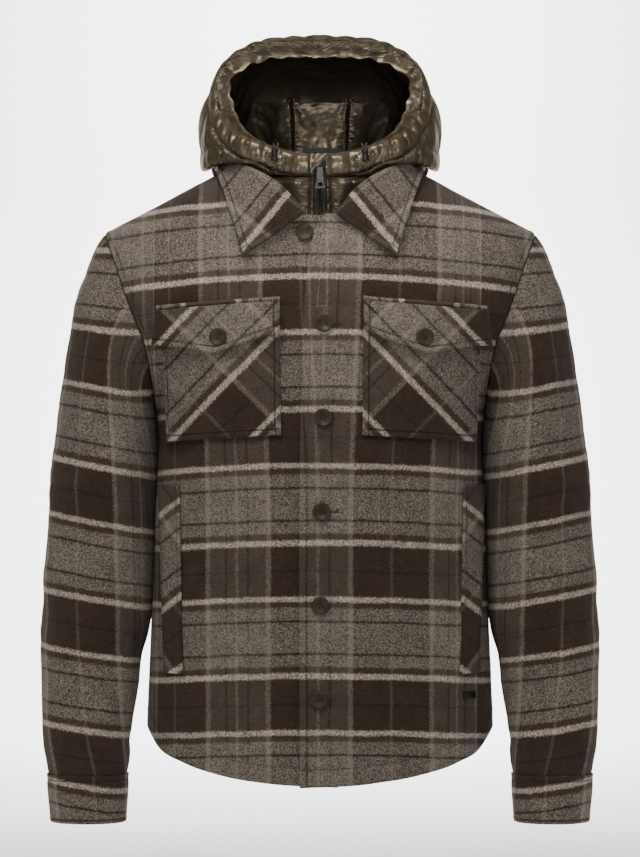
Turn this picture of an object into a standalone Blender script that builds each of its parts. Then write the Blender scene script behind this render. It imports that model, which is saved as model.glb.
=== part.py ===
"""A plaid wool shirt jacket over a quilted nylon bib and hood, filled out as if worn.

Metres, +Z up, the front faces -Y and the wearer's left is +X. The origin is where the wearer's
shoulders hold the jacket: the middle of the neck, level with the shoulder points.
"""

import math

import bmesh
import bpy
import numpy as np
from mathutils import Matrix, Vector
from mathutils.bvhtree import BVHTree

# Driving sizes of the wool shell
WALL = 0.003
SEAM_GAP = 0.0003
LAY_GAP = 0.0011
ROUNDNESS = 2.3
HIGH_SHOULDER = (0.0975, 0.016)
SHOULDER_TIP = (0.245, -0.0615)
ARMPIT = (0.187, -0.262)
NECK_FRONT = -0.046
NECK_BACK = -0.001
ARMHOLE_DEPTH = {"front": 0.072, "back": 0.080}
ARMHOLE_STEPS = 12
NECK_STEPS = 6
BODY_ROWS = 8
HALF_COLUMNS = 9

# Placket: the wearer's left front lies over the right one
OVERLAP_UNDER = 0.020
OVERLAP_LIFT = 0.0048
LIFT_ENDS = (0.036, 0.075)

# Sections of the worn body: height, half width at the side seam or armhole, depth front and back
BODY = np.array([
    # z, half_width, front, back
    (-0.700, 0.1995, 0.128, 0.115),
    (-0.620, 0.1970, 0.128, 0.112),
    (-0.524, 0.1930, 0.129, 0.107),
    (-0.448, 0.1900, 0.130, 0.104),
    (-0.330, 0.1850, 0.131, 0.109),
    (-0.296, 0.1845, 0.131, 0.113),
    (-0.262, 0.1870, 0.131, 0.116),
    (-0.217, 0.1920, 0.131, 0.119),
    (-0.191, 0.1970, 0.131, 0.120),
    (-0.150, 0.2127, 0.127, 0.119),
    (-0.120, 0.2235, 0.120, 0.116),
    (-0.094, 0.2325, 0.112, 0.110),
    (-0.0615, 0.2450, 0.104, 0.101),
    (-0.045, 0.2490, 0.100, 0.095),
    (-0.015, 0.2600, 0.090, 0.086),
    (0.016, 0.2700, 0.080, 0.078),
])

# Shirt-tail hem: place from the centre line (0) to the side seam (1), height
HEM = np.array([
    # across, z
    (0.00, -0.680),
    (0.35, -0.676),
    (0.60, -0.668),
    (0.80, -0.655),
    (0.92, -0.642),
    (1.00, -0.620),
])

# Edge of the top placket, which leans in towards the neck: height, x
PLACKET_EDGE = np.array([
    # z, x
    (-0.680, -0.0222),
    (-0.340, -0.0222),
    (-0.230, -0.0204),
    (-0.166, -0.0182),
    (-0.105, -0.0138),
    (-0.087, -0.0110),
    (-0.067, -0.0065),
    (-0.046, +0.0045),
])

# Sleeve rings from the armhole to the wrist
SLEEVE = np.array([
    # outer_x, outer_z, inner_x, inner_z, centre_y, half_depth
    (0.2571, -0.0806, 0.1885, -0.268, 0.004, 0.078),
    (0.2678, -0.1090, 0.1897, -0.276, 0.004, 0.080),
    (0.2787, -0.1437, 0.1905, -0.287, 0.003, 0.081),
    (0.2875, -0.1942, 0.1905, -0.304, 0.002, 0.080),
    (0.2970, -0.2600, 0.1900, -0.330, 0.001, 0.078),
    (0.3040, -0.3200, 0.1910, -0.362, 0.000, 0.075),
    (0.3084, -0.3865, 0.1930, -0.405, -0.003, 0.071),
    (0.3128, -0.4488, 0.1950, -0.458, -0.008, 0.066),
    (0.3156, -0.5088, 0.1985, -0.512, -0.016, 0.060),
    (0.3164, -0.5688, 0.2055, -0.569, -0.026, 0.053),
    (0.3132, -0.6254, 0.2135, -0.626, -0.038, 0.047),
    (0.3060, -0.6705, 0.2165, -0.6705, -0.050, 0.042),
])
CUFF = np.array([
    # outer_x, outer_z, inner_x, inner_z, centre_y, half_depth
    (0.3075, -0.6708, 0.2150, -0.6708, -0.050, 0.0435),
    (0.3060, -0.6890, 0.2160, -0.6890, -0.052, 0.0430),
    (0.3045, -0.7070, 0.2168, -0.7070, -0.054, 0.0425),
    (0.3030, -0.7240, 0.2175, -0.7240, -0.056, 0.0420),
])

# Patches on each front, in places of the wearer's right side: corners from the centre outwards
POCKET_SHIFT = {"left": 0.0035, "right": 0.0}
POCKET = {"top": ((0.0440, -0.1505), (0.1740, -0.1580)), "bottom": ((0.0425, -0.2905), (0.1680, -0.2980))}
FLAP = {"top": ((0.0438, -0.1440), (0.1790, -0.1518)), "bottom": ((0.0438, -0.1765), (0.1800, -0.1873))}
FLAP_POINT = (0.1125, -0.1996)
RIDGE_HEIGHT = 0.005
RIDGE_THICKNESS = 0.006
FLAP_THICKNESS = 0.004
OUTER_RISE = 0.0010
SIDE_WELT = {"top": ((0.1555, -0.3465), (0.1787, -0.3465)), "bottom": ((0.1515, -0.5570), (0.1720, -0.5570))}
PLATE_PLACE = (0.1665, -0.581)
PLATE_SIZE = (0.020, 0.008, 0.0015)
PLATE_CORNER = 0.0015

# Buttons
BUTTON_RADIUS = 0.010
BUTTON_THICKNESS = 0.0036
BUTTON_EDGE_ROUND = 0.0008
BUTTON_RIM = 0.0016
BUTTON_DISH = 0.0008
BUTTON_COUNT = 5
BUTTON_PITCH = 0.1036
FIRST_BUTTON = (0.0045, -0.1676)
BUTTON_LEAN = -0.0013
COLLAR_BUTTON = (-0.0172, -0.0652)
POCKET_BUTTON = (0.1095, -0.1820)

# Collar, half of it from the front to the middle of the back: roll line and outer edge
COLLAR = np.array([
    # roll_x, roll_y, roll_z, edge_x, edge_y, edge_z
    (0.0165, -0.1135, -0.0440, 0.0843, -0.112, -0.0921),
    (0.0273, -0.1140, -0.0297, 0.0885, -0.108, -0.0780),
    (0.0418, -0.1130, -0.0148, 0.0930, -0.104, -0.0620),
    (0.0567, -0.1090, -0.0032, 0.0985, -0.098, -0.0460),
    (0.0740, -0.0965, 0.0060, 0.1040, -0.090, -0.0290),
    (0.0905, -0.0700, 0.0130, 0.1095, -0.070, -0.0120),
    (0.1000, -0.0350, 0.0200, 0.1160, -0.038, 0.0040),
    (0.1020, 0.0050, 0.0260, 0.1210, 0.005, 0.0080),
    (0.0980, 0.0490, 0.0300, 0.1170, 0.058, 0.0000),
    (0.0670, 0.0820, 0.0330, 0.0800, 0.099, -0.0180),
    (0.0000, 0.0960, 0.0340, 0.0000, 0.112, -0.0260),
])
COLLAR_WALL = 0.0035
COLLAR_OFF_BODY = 0.0085

# Collar stand: the collar's station that each point of the neckline meets, from the front
STAND_MEETS_ROLL = (4.0, 4.9, 5.7, 6.9, 7.4, 7.8, 8.3, 8.8, 9.4, 10.0)
STAND_INSET = 0.0038
STAND_DROP = 0.0040

# Hood, half of it from the zip to the middle of the back: points of each section, rim to neck seam
HOOD_SECTIONS = (
    # rim, upper, middle, low, neck, seam
    ((0.007, -0.1040, 0.0210), (0.007, -0.1090, 0.0170), (0.007, -0.1100, 0.0110),
     (0.007, -0.1100, 0.0060), (0.007, -0.1090, 0.0010), (0.007, -0.1070, -0.0035)),
    ((0.031, -0.1020, 0.0245), (0.032, -0.1085, 0.0190), (0.033, -0.1100, 0.0130),
     (0.034, -0.1095, 0.0070), (0.034, -0.1085, 0.0020), (0.034, -0.1060, -0.0020)),
    ((0.053, -0.0950, 0.0310), (0.055, -0.1020, 0.0260), (0.056, -0.1030, 0.0190),
     (0.057, -0.1020, 0.0120), (0.057, -0.1000, 0.0060), (0.057, -0.0960, 0.0005)),
    ((0.077, -0.0760, 0.0450), (0.088, -0.0870, 0.0400), (0.096, -0.0885, 0.0300),
     (0.096, -0.0865, 0.0195), (0.0812, -0.0782, 0.0140), (0.0792, -0.0740, 0.0040)),
    ((0.093, -0.0400, 0.0680), (0.110, -0.0520, 0.0610), (0.122, -0.0520, 0.0420),
     (0.121, -0.0480, 0.0180), (0.092, -0.0370, 0.0260), (0.085, -0.0320, 0.0080)),
    ((0.103, -0.0100, 0.1070), (0.119, -0.0120, 0.0980), (0.133, -0.0060, 0.0580),
     (0.134, 0.0020, 0.0150), (0.0920, 0.0020, 0.0360), (0.0870, 0.0020, 0.0120)),
    ((0.094, 0.0080, 0.1240), (0.109, 0.0160, 0.1370), (0.135, 0.0520, 0.0820),
     (0.129, 0.0600, 0.0240), (0.084, 0.0420, 0.0410), (0.0790, 0.0390, 0.0120)),
    ((0.060, 0.0180, 0.1400), (0.065, 0.0270, 0.1590), (0.086, 0.1180, 0.1200),
     (0.084, 0.1200, 0.0490), (0.056, 0.0720, 0.0430), (0.0540, 0.0665, 0.0110)),
    ((0.000, 0.0200, 0.1430), (0.000, 0.0300, 0.1645), (0.000, 0.1480, 0.1240),
     (0.000, 0.1450, 0.0620), (0.000, 0.0810, 0.0430), (0.000, 0.0745, 0.0100)),
)
HOOD_MIDDLE = (0.0, 0.02, 0.06)
HOOD_HALF_COLUMNS = 17
HOOD_WALL = 0.005
HOOD_PUFF = 0.0035
QUILT_LINES = (0.0, 0.18, 0.45, 0.72, 1.0)
ROWS_IN_CHANNEL = 3

# Padded band inside the hood, half of it from the front to the middle of the back
BAND = np.array([
    # low_x, low_y, low_z, high_x, high_y, high_z
    (0.0500, -0.0880, 0.0000, 0.0480, -0.0860, 0.0210),
    (0.0690, -0.0600, 0.0060, 0.0690, -0.0600, 0.0430),
    (0.0790, -0.0050, 0.0120, 0.0780, -0.0100, 0.0700),
    (0.0720, 0.0380, 0.0130, 0.0770, 0.0380, 0.0880),
    (0.0450, 0.0600, 0.0130, 0.0500, 0.0650, 0.0950),
    (0.0000, 0.0678, 0.0120, 0.0000, 0.0720, 0.0950),
])
BAND_WALL = 0.006
BAND_PUFF = 0.005
BAND_CHANNELS = 4

# Quilted fronts of the inner bib, from the hood's seam down behind the wool: height, outer face, widest x
BIB = np.array([
    # z, y, wide_x
    (-0.120, -0.0980, 0.066),
    (-0.100, -0.0960, 0.066),
    (-0.080, -0.0930, 0.066),
    (-0.062, -0.0905, 0.064),
    (-0.046, -0.0900, 0.060),
    (-0.034, -0.0905, 0.056),
    (-0.022, -0.0970, 0.052),
    (-0.012, -0.1015, 0.048),
    (-0.0045, -0.1040, 0.044),
])
BIB_WALL = 0.004
BIB_PUFF = 0.0025
BIB_FALLS_BACK = 0.010
BIB_RISES = 0.0015
BIB_ROWS_A_CHANNEL = 4
ZIP_HALF_GAP = 0.0070

# Zip
ZIP_TOP = 0.0150
ZIP_BOTTOM = -0.1180
ZIP_BENDS = (-0.095, -0.070, -0.052, -0.040, -0.028, -0.016, -0.0045)
TAPE_INNER_X = 0.0012
TAPE_OUTER_X = 0.0067
TAPE_THICKNESS = 0.0012
SLIDER_SIZE = (0.0085, 0.0045, 0.0090)
SLIDER_EDGE = 0.0010
SLIDER_TOP = 0.0080
PULL_WIDTH = 0.0105
PULL_NECK_WIDTH = 0.0075
PULL_LENGTH = 0.0200
PULL_THICKNESS = 0.0015
PULL_WINDOW = (0.0060, 0.0042)
PULL_SHOULDER = 0.0020
PULL_AXIS = (0.0, -0.1093, 0.0030)
GUARD = ((-0.0115, 0.0215), (0.0105, 0.0215), (-0.0105, 0.0010))
GUARD_FACE = -0.1146
GUARD_THICKNESS = 0.0020

# Drawcord hardware: one eyelet either side of each cord lock
EYELET_RADIUS = 0.0028
EYELET_WIRE = 0.0008
EYELET_STANDS_OFF = 0.0004
EYELETS = ((0.0385, 0.0165), (0.0565, 0.0225))
LOCK_PLACE = (0.0475, 0.0200)
LOCK_SIZE = (0.0095, 0.0070, 0.0150)
LOCK_HOLE = (0.0056, 0.0032)
LOCK_STANDS_OFF = 0.0043
LOCK_EDGE = 0.0013
CORD_RADIUS = 0.0008
CORD_POINTS = 12
CORD_ROUTES = {
    # x, y, z on the wearer's left, from the eyelet to the free end
    "inner": (
        (0.0387, -0.1136, 0.0172),
        (0.0402, -0.1170, 0.0125),
        (0.0445, -0.1165, 0.0080),
        (0.0473, -0.1145, 0.0100),
        (0.0476, -0.1140, 0.0140),
        (0.0476, -0.1140, 0.0210),
        (0.0476, -0.1140, 0.0280),
        (0.0462, -0.1150, 0.0330),
    ),
    "outer": (
        (0.0565, -0.1085, 0.0225),
        (0.0580, -0.1120, 0.0170),
        (0.0555, -0.1145, 0.0105),
        (0.0515, -0.1145, 0.0080),
        (0.0502, -0.1134, 0.0110),
        (0.0502, -0.1132, 0.0150),
        (0.0502, -0.1132, 0.0280),
        (0.0518, -0.1140, 0.0330),
    ),
}
HANGER_ENDS = (-0.0200, 0.0230)
HANGER_HEIGHTS = (0.0350, 0.0410)
HANGER_THICKNESS = 0.0015
HANGER_BULGE = 0.004


def material(name, colour, roughness, metallic=0.0):
    """A plain finish of one colour."""
    made = bpy.data.materials.new(name)
    made.use_nodes = True
    shader = made.node_tree.nodes["Principled BSDF"]
    shader.inputs["Base Color"].default_value = (*colour, 1.0)
    shader.inputs["Roughness"].default_value = roughness
    shader.inputs["Metallic"].default_value = metallic
    made.diffuse_color = (*colour, 1.0)
    return made


def smooth_value(table, place, column):
    """The value of one column at a place in the first column, on a smooth curve through the rows."""
    places = table[:, 0]
    values = table[:, column]
    slopes = np.gradient(values, places)
    place = np.clip(place, places[0], places[-1])
    low = np.clip(np.searchsorted(places, place) - 1, 0, len(places) - 2)
    span = places[low + 1] - places[low]
    t = (place - places[low]) / span
    return (
        values[low] * (1 + 2 * t) * (1 - t) ** 2
        + slopes[low] * span * t * (1 - t) ** 2
        + values[low + 1] * (3 - 2 * t) * t**2
        + slopes[low + 1] * span * (t - 1) * t**2
    )


def smooth_path(points, count):
    """Evenly numbered points on a smooth curve through a few points."""
    points = np.asarray(points, float)
    numbers = np.arange(len(points), dtype=float)
    places = np.linspace(0, len(points) - 1, count)
    table = np.column_stack([numbers, points])
    return np.column_stack([smooth_value(table, places, 1 + k) for k in range(points.shape[1])])


def ease(value, low, high):
    """0 below low and 1 above high, with a soft change between."""
    t = np.clip((value - low) / (high - low), 0, 1)
    return t * t * (3 - 2 * t)


# The worn form


def half_width(z):
    """Half width of the form at a height: side seam, armhole, then the sloping shoulder line."""
    slope = (SHOULDER_TIP[0] - HIGH_SHOULDER[0]) / (HIGH_SHOULDER[1] - SHOULDER_TIP[1])
    ridge = HIGH_SHOULDER[0] + (HIGH_SHOULDER[1] - z) * slope
    return np.where(z > SHOULDER_TIP[1], ridge, smooth_value(BODY, z, 1))


def armhole_turn(z):
    """How far round the armhole a height is, from 0 at the armpit to pi at the shoulder tip."""
    share = np.clip((z - ARMPIT[1]) / (SHOULDER_TIP[1] - ARMPIT[1]), 0, 1)
    return np.arccos(1 - 2 * share)


def full_width(z, side):
    """Half width of the whole section, as if the armhole weren't cut out of it."""
    depth = ARMHOLE_DEPTH[side] * np.sin(armhole_turn(z)) ** 0.9
    centre = smooth_value(BODY, z, 2 if side == "front" else 3)
    return half_width(z) / (1 - (depth / centre) ** ROUNDNESS) ** (1 / ROUNDNESS)


def form_depth(x, z, side):
    """How far the form lies before or behind the shoulder line."""
    share = np.clip(np.abs(x) / full_width(z, side), 0, 1)
    centre = smooth_value(BODY, z, 2 if side == "front" else 3)
    return centre * (1 - share**ROUNDNESS) ** (1 / ROUNDNESS)


def form_points(x, z, side):
    """Points of the form at places seen from the front."""
    facing = -1 if side == "front" else 1
    return np.stack([x, facing * form_depth(x, z, side), z], axis=-1)


def form_normals(points, side):
    """Outward directions of the form at points on it."""
    x, y, z = np.moveaxis(points, -1, 0)

    def level(height):
        centre = smooth_value(BODY, height, 2 if side == "front" else 3)
        across = (np.abs(x) / full_width(height, side)) ** ROUNDNESS
        return across + (np.abs(y) / centre) ** ROUNDNESS

    step = 0.0005
    centre = smooth_value(BODY, z, 2 if side == "front" else 3)
    wide = full_width(z, side)
    power = ROUNDNESS - 1
    out = np.stack([
        np.sign(x) * ROUNDNESS / wide * (np.abs(x) / wide) ** power,
        np.sign(y) * ROUNDNESS / centre * (np.abs(y) / centre) ** power,
        (level(z + step) - level(z - step)) / (2 * step),
    ], axis=-1)
    return unit(out)


def unit(vectors):
    """Vectors of length one."""
    return vectors / np.maximum(np.linalg.norm(vectors, axis=-1, keepdims=True), 1e-9)


ARMHOLE_OUT = unit(np.array([
    SHOULDER_TIP[1] - ARMPIT[1], 0.0, ARMPIT[0] - SHOULDER_TIP[0],
]))


def armhole_line(side):
    """Points of one half of the armhole seam from armpit to shoulder tip, and their outward directions."""
    turn = np.linspace(0, math.pi, ARMHOLE_STEPS + 1)
    z = ARMPIT[1] + (SHOULDER_TIP[1] - ARMPIT[1]) * (1 - np.cos(turn)) / 2
    x = half_width(z)
    facing = -1 if side == "front" else 1
    y = facing * ARMHOLE_DEPTH[side] * np.maximum(np.sin(turn), 0) ** 0.9
    points = np.stack([x, y, z], axis=-1)
    centre = np.array([ARMPIT[0], 0.0, (ARMPIT[1] + SHOULDER_TIP[1]) / 2])
    along = np.gradient(points, axis=0)
    along[0] = along[-1] = (0, 1, 0)
    out = unit(np.cross(along, ARMHOLE_OUT))
    flip = np.sum(out * (points - centre), axis=-1) < 0
    out[flip] *= -1
    out[0] = unit(np.array([-0.15, 0, -1]))
    return points, out


def neck_places(side, centre_x):
    """Neckline places from the centre to the high shoulder point."""
    turn = math.pi / 2 * (1 - (1 - np.linspace(0, 1, NECK_STEPS + 1)) ** 1.4)
    low = NECK_FRONT if side == "front" else NECK_BACK
    z = low + (HIGH_SHOULDER[1] - low) * (1 - np.cos(turn))
    x = HIGH_SHOULDER[0] * np.sin(turn)
    x[0] = centre_x
    return x, z


def panel_places(side, centre_edge):
    """Grid of places for half a panel, from hem to shoulder, with x from the centre edge outwards."""
    across = np.linspace(0, 1, HALF_COLUMNS + 1)
    bend = np.sin(across * math.pi / 2) ** 0.87
    hem = smooth_value(HEM, bend, 1)
    rows = []
    for share in np.linspace(0, 1, BODY_ROWS + 1)[:-1]:
        z = hem + (ARMPIT[1] - hem) * share
        start = centre_edge(z)
        rows.append(np.stack([start + (half_width(z) - start) * bend, z], axis=-1))
    neck_z = NECK_FRONT if side == "front" else NECK_BACK
    left_z = np.linspace(ARMPIT[1], neck_z, ARMHOLE_STEPS - NECK_STEPS + 1)
    neck_x, neck_heights = neck_places(side, float(centre_edge(neck_z)))
    left = np.column_stack([
        np.concatenate([centre_edge(left_z), neck_x[1:]]),
        np.concatenate([left_z, neck_heights[1:]]),
    ])
    right = armhole_line(side)[0][:, [0, 2]]
    bottom_start = float(centre_edge(ARMPIT[1]))
    bottom = np.column_stack([
        bottom_start + (ARMPIT[0] - bottom_start) * bend,
        np.full_like(bend, ARMPIT[1]),
    ])
    top = np.outer(1 - across, HIGH_SHOULDER) + np.outer(across, SHOULDER_TIP)
    for number in range(ARMHOLE_STEPS + 1):
        up = number / ARMHOLE_STEPS
        sides = np.outer(1 - bend, left[number]) + np.outer(bend, right[number])
        ends = (1 - up) * bottom + up * top
        corner_low = np.outer(1 - bend, bottom[0]) + np.outer(bend, bottom[-1])
        corner_high = np.outer(1 - bend, top[0]) + np.outer(bend, top[-1])
        rows.append(sides + ends - (1 - up) * corner_low - up * corner_high)
    return np.array(rows)


def half_panel(side, centre_edge, lift=None):
    """Outer and inner points of half a panel on the +x side, parted from its neighbours at the seams."""
    places = panel_places(side, centre_edge)
    outer = form_points(places[..., 0], places[..., 1], side)
    facing = -1 if side == "front" else 1
    outer[:BODY_ROWS + 1, -1, 1] = 0
    outer[-1, :, 1] = 0
    normals = form_normals(outer, side)
    loop, loop_out = armhole_line(side)
    outer[BODY_ROWS:, -1] = loop
    normals[BODY_ROWS:, -1] = loop_out
    if lift is not None:
        outer = outer + normals * lift(outer[..., 0])[..., None]
    inner = outer - WALL * normals
    for grid in (outer, inner):
        grid[BODY_ROWS:, -1] -= ARMHOLE_OUT * SEAM_GAP / 2
        grid[:BODY_ROWS + 1, -1, 1] += facing * SEAM_GAP / 2
        grid[-1, :, 1] += facing * SEAM_GAP / 2
    return outer, inner


# Building closed pieces


def finish(name, mesh, finish_material, smooth=True):
    """Turns a bmesh into a named object with its material."""
    bmesh.ops.recalc_face_normals(mesh, faces=mesh.faces[:])
    data = bpy.data.meshes.new(name)
    mesh.to_mesh(data)
    mesh.free()
    if smooth:
        data.shade_smooth()
        data.set_sharp_from_angle(angle=math.radians(40))
    data.materials.append(finish_material)
    made = bpy.data.objects.new(name, data)
    bpy.context.scene.collection.objects.link(made)
    return made


def wrapped(grid):
    """A grid whose last column meets its first, as a sleeve's does."""
    return np.concatenate([grid, grid[:, :1]], axis=1)


def cloth(name, layers, finish_material):
    """A wall from pairs of outer and inner grids, sewn into one where their outer points meet."""
    mesh = bmesh.new()
    place = mesh.verts.layers.int.new("place")
    inner_points = []
    for outer, inner in layers:
        rows, columns = outer.shape[:2]
        grid = bmesh.ops.create_grid(mesh, x_segments=columns - 1, y_segments=rows - 1, size=1)
        for vert, point, inside in zip(grid["verts"], outer.reshape(-1, 3), inner.reshape(-1, 3)):
            vert.co = point
            vert[place] = len(inner_points)
            inner_points.append(inside)
    bmesh.ops.remove_doubles(mesh, verts=mesh.verts[:], dist=1e-6)
    made = bmesh.ops.extrude_face_region(mesh, geom=mesh.faces[:], use_keep_orig=True)
    for vert in made["geom"]:
        if isinstance(vert, bmesh.types.BMVert):
            vert.co = inner_points[vert[place]]
    return finish(name, mesh, finish_material)


def mirrored(grid):
    """The same grid on the other side of the jacket."""
    return grid * np.array([-1.0, 1.0, 1.0])


def grid_normals(grid, closed=False):
    """Directions square to a grid of points, with rows and columns taken as they run."""
    if closed:
        along = (np.roll(grid, -1, axis=1) - np.roll(grid, 1, axis=1)) / 2
    else:
        along = np.gradient(grid, axis=1)
    down = np.gradient(grid, axis=0)
    return unit(np.cross(down, along))


# Wool shell


def back_centre(z):
    """The back is cut in one piece, so its half starts on the centre line."""
    return np.zeros_like(np.asarray(z, float))


def under_edge(z):
    """Edge of the front that lies under the other one."""
    return np.full_like(np.asarray(z, float), -OVERLAP_UNDER)


def placket_edge(z):
    """Edge of the front that lies on top."""
    return smooth_value(PLACKET_EDGE, np.asarray(z, float), 1)


def top_lift(x):
    """How far the upper front is lifted over the lower one."""
    return OVERLAP_LIFT * (1 - ease(x, *LIFT_ENDS))


def make_body(wool):
    """Back and the two overlapping fronts."""
    outer, inner = half_panel("back", back_centre)
    cloth("back", [(outer, inner), (mirrored(outer), mirrored(inner))], wool)
    cloth("front_left", [half_panel("front", placket_edge, top_lift)], wool)
    outer, inner = half_panel("front", under_edge)
    cloth("front_right", [(mirrored(outer), mirrored(inner))], wool)


def ring(row, bend=None):
    """One ring of a sleeve, round from the inner side by the front to the outer side and the back."""
    outer_x, outer_z, inner_x, inner_z, centre_y, half_depth = row
    turn = np.linspace(0, 2 * math.pi, 2 * ARMHOLE_STEPS + 1)[:-1]
    along = (1 - np.cos(turn)) / 2
    depth = np.sign(np.sin(turn)) * np.abs(np.sin(turn)) ** 0.9
    points = np.column_stack([
        inner_x + (outer_x - inner_x) * along,
        centre_y - half_depth * depth,
        inner_z + (outer_z - inner_z) * along,
    ])
    return points if bend is None else points + bend


def armhole_ring():
    """The armhole seam as a ring, in the order of the sleeve's rings, and its outward directions."""
    front, front_out = armhole_line("front")
    back, back_out = armhole_line("back")
    points = np.concatenate([front, back[-2:0:-1]])
    return points, np.concatenate([front_out, back_out[-2:0:-1]])


def sleeve_rings():
    """Outer points of the sleeve, from the armhole to the wrist."""
    seam, _ = armhole_ring()
    flat = ring((*SHOULDER_TIP, *ARMPIT, 0.0, ARMHOLE_DEPTH["front"]))
    bend = (seam - flat) * np.array([1, 0, 0])
    fading = np.interp(np.arange(len(SLEEVE)), (-1, 1), (1, 0))
    rings = [ring(row, bend * share) for row, share in zip(SLEEVE, fading)]
    return np.array([seam + ARMHOLE_OUT * SEAM_GAP / 2, *rings])


def make_sleeves(wool):
    """Sleeves and their cuffs."""
    outer = sleeve_rings()
    normals = grid_normals(outer, closed=True)
    normals[0] = armhole_ring()[1]
    normals[-1, :, 2] = 0
    inner = outer - WALL * unit(normals)
    cuff = np.array([ring(row) for row in CUFF])
    cuff_normals = grid_normals(cuff, closed=True)
    cuff_normals[..., 2] = 0
    cuff_inner = cuff - WALL * unit(cuff_normals)
    for side, flip in (("left", np.array), ("right", mirrored)):
        cloth(f"sleeve_{side}", [(wrapped(flip(outer)), wrapped(flip(inner)))], wool)
        cloth(f"cuff_{side}", [(wrapped(flip(cuff)), wrapped(flip(cuff_inner)))], wool)



# Patches on the fronts


def patch(name, side, corners, finish_material, base, thickness, columns=5, rows=3, point=None):
    """A layer that lies on a front, between a top and a bottom line; a point makes the bottom a V."""
    shift = POCKET_SHIFT[side]
    across = np.linspace(0, 1, columns + 1)
    top, bottom = (
        np.outer(1 - across, corners[line][0]) + np.outer(across, corners[line][1])
        for line in ("top", "bottom")
    )
    if point is not None:
        middle = columns // 2
        bottom[:, 1] = np.interp(
            across, (0, across[middle], 1), (bottom[0, 1], point[1], bottom[-1, 1])
        )
    places = np.array([(1 - t) * top + t * bottom for t in np.linspace(0, 1, rows + 1)])
    x = places[..., 0] + shift
    points = form_points(x, places[..., 1], "front")
    normals = form_normals(points, "front")
    lift = OUTER_RISE * across[None, :] + (top_lift(x) if side == "left" else np.zeros_like(x))
    outer = points + normals * (base + thickness + lift)[..., None]
    inner = points + normals * (base + lift)[..., None]
    if side == "right":
        outer, inner = mirrored(outer), mirrored(inner)
    return cloth(name, [(outer, inner)], finish_material)


def make_patches(wool):
    """Chest pockets, their flaps and ridges, and the side pockets' welts."""
    over_pocket = WALL + 2 * LAY_GAP
    ridge = {
        "top": tuple((x, z + SEAM_GAP + RIDGE_HEIGHT) for x, z in FLAP["top"]),
        "bottom": tuple((x, z + SEAM_GAP) for x, z in FLAP["top"]),
    }
    for side in ("left", "right"):
        patch(f"chest_pocket_{side}", side, POCKET, wool, LAY_GAP, WALL, 8, 6)
        patch(f"pocket_flap_{side}", side, FLAP, wool, over_pocket, FLAP_THICKNESS, 8, 3, FLAP_POINT)
        patch(f"flap_ridge_{side}", side, ridge, wool, LAY_GAP, RIDGE_THICKNESS, 6, 1)
        patch(f"side_welt_{side}", side, SIDE_WELT, wool, LAY_GAP / 2, WALL, 3, 7)


# Collar


def off_body(points, clear):
    """Moves points that are nearer to the form than clear out along its normals."""
    moved = points.copy()
    for _ in range(4):
        for side, chosen in (("front", moved[..., 1] < 0), ("back", moved[..., 1] >= 0)):
            some = moved[chosen]
            normals = form_normals(some, side)
            centre = smooth_value(BODY, some[:, 2], 2 if side == "front" else 3)
            wide = full_width(some[:, 2], side)
            level = (np.abs(some[:, 0]) / wide) ** ROUNDNESS + (np.abs(some[:, 1]) / centre) ** ROUNDNESS
            scale = np.maximum(level, 1e-6) ** (1 / ROUNDNESS)
            flat = some * np.array([1, 1, 0])
            away = (1 - 1 / scale) * np.sum(flat * normals, axis=-1)
            moved[chosen] = some + normals * np.maximum(clear - away, 0)[:, None]
    return moved


def both_halves(half):
    """A half grid and its mirror image as one, joined at the middle of the back (its last row)."""
    return np.concatenate([half, mirrored(half[-2::-1])], axis=0)


def make_collar(wool):
    """The fold-over collar and its stand."""
    stations = smooth_path(COLLAR, 17)
    shares = np.linspace(0, 1, 6)
    roll, edge = stations[:, None, :3], stations[:, None, 3:]
    half = roll + (edge - roll) * shares[None, :, None]
    half = off_body(half, COLLAR_OFF_BODY)
    half[-1, :, 0] = 0
    outer = both_halves(half)
    normals = grid_normals(outer)
    if np.mean(normals[..., 2]) < 0:
        normals = -normals
    cloth("collar", [(outer, outer - COLLAR_WALL * normals)], wool)


def make_collar_stand(wool):
    """The stand between the neckline and the roll line."""
    necklines = []
    for side in ("front", "back"):
        x, z = neck_places(side, 0.0)
        necklines.append(form_points(x, z, side))
    low = np.concatenate([necklines[0][3:], necklines[1][-2::-1]]) + np.array([0, 0, 2 * SEAM_GAP])
    roll = np.column_stack([np.arange(len(COLLAR)), COLLAR[:, :3]])
    high = np.column_stack([smooth_value(roll, np.array(STAND_MEETS_ROLL), 1 + k) for k in range(3)])
    high -= STAND_INSET * unit(high * np.array([1, 1, 0])) + np.array([0, 0, STAND_DROP])
    half = low[:, None] + (high - low)[:, None] * np.linspace(0, 1, 3)[None, :, None]
    half[-1, :, 0] = 0
    outer = both_halves(half)
    inward = unit(outer * np.array([1, 1, 0]))
    cloth("collar_stand", [(outer, outer - WALL * inward)], wool)


# Hood, band and bib


def quilt_puff(share, lines):
    """How full a padded channel is at a place between its stitch lines."""
    lines = np.asarray(lines)
    low = np.clip(np.searchsorted(lines, share, side="right") - 1, 0, len(lines) - 2)
    local = (share - lines[low]) / (lines[low + 1] - lines[low])
    return np.abs(np.sin(np.clip(local, 0, 1) * math.pi)) ** 0.7


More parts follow.
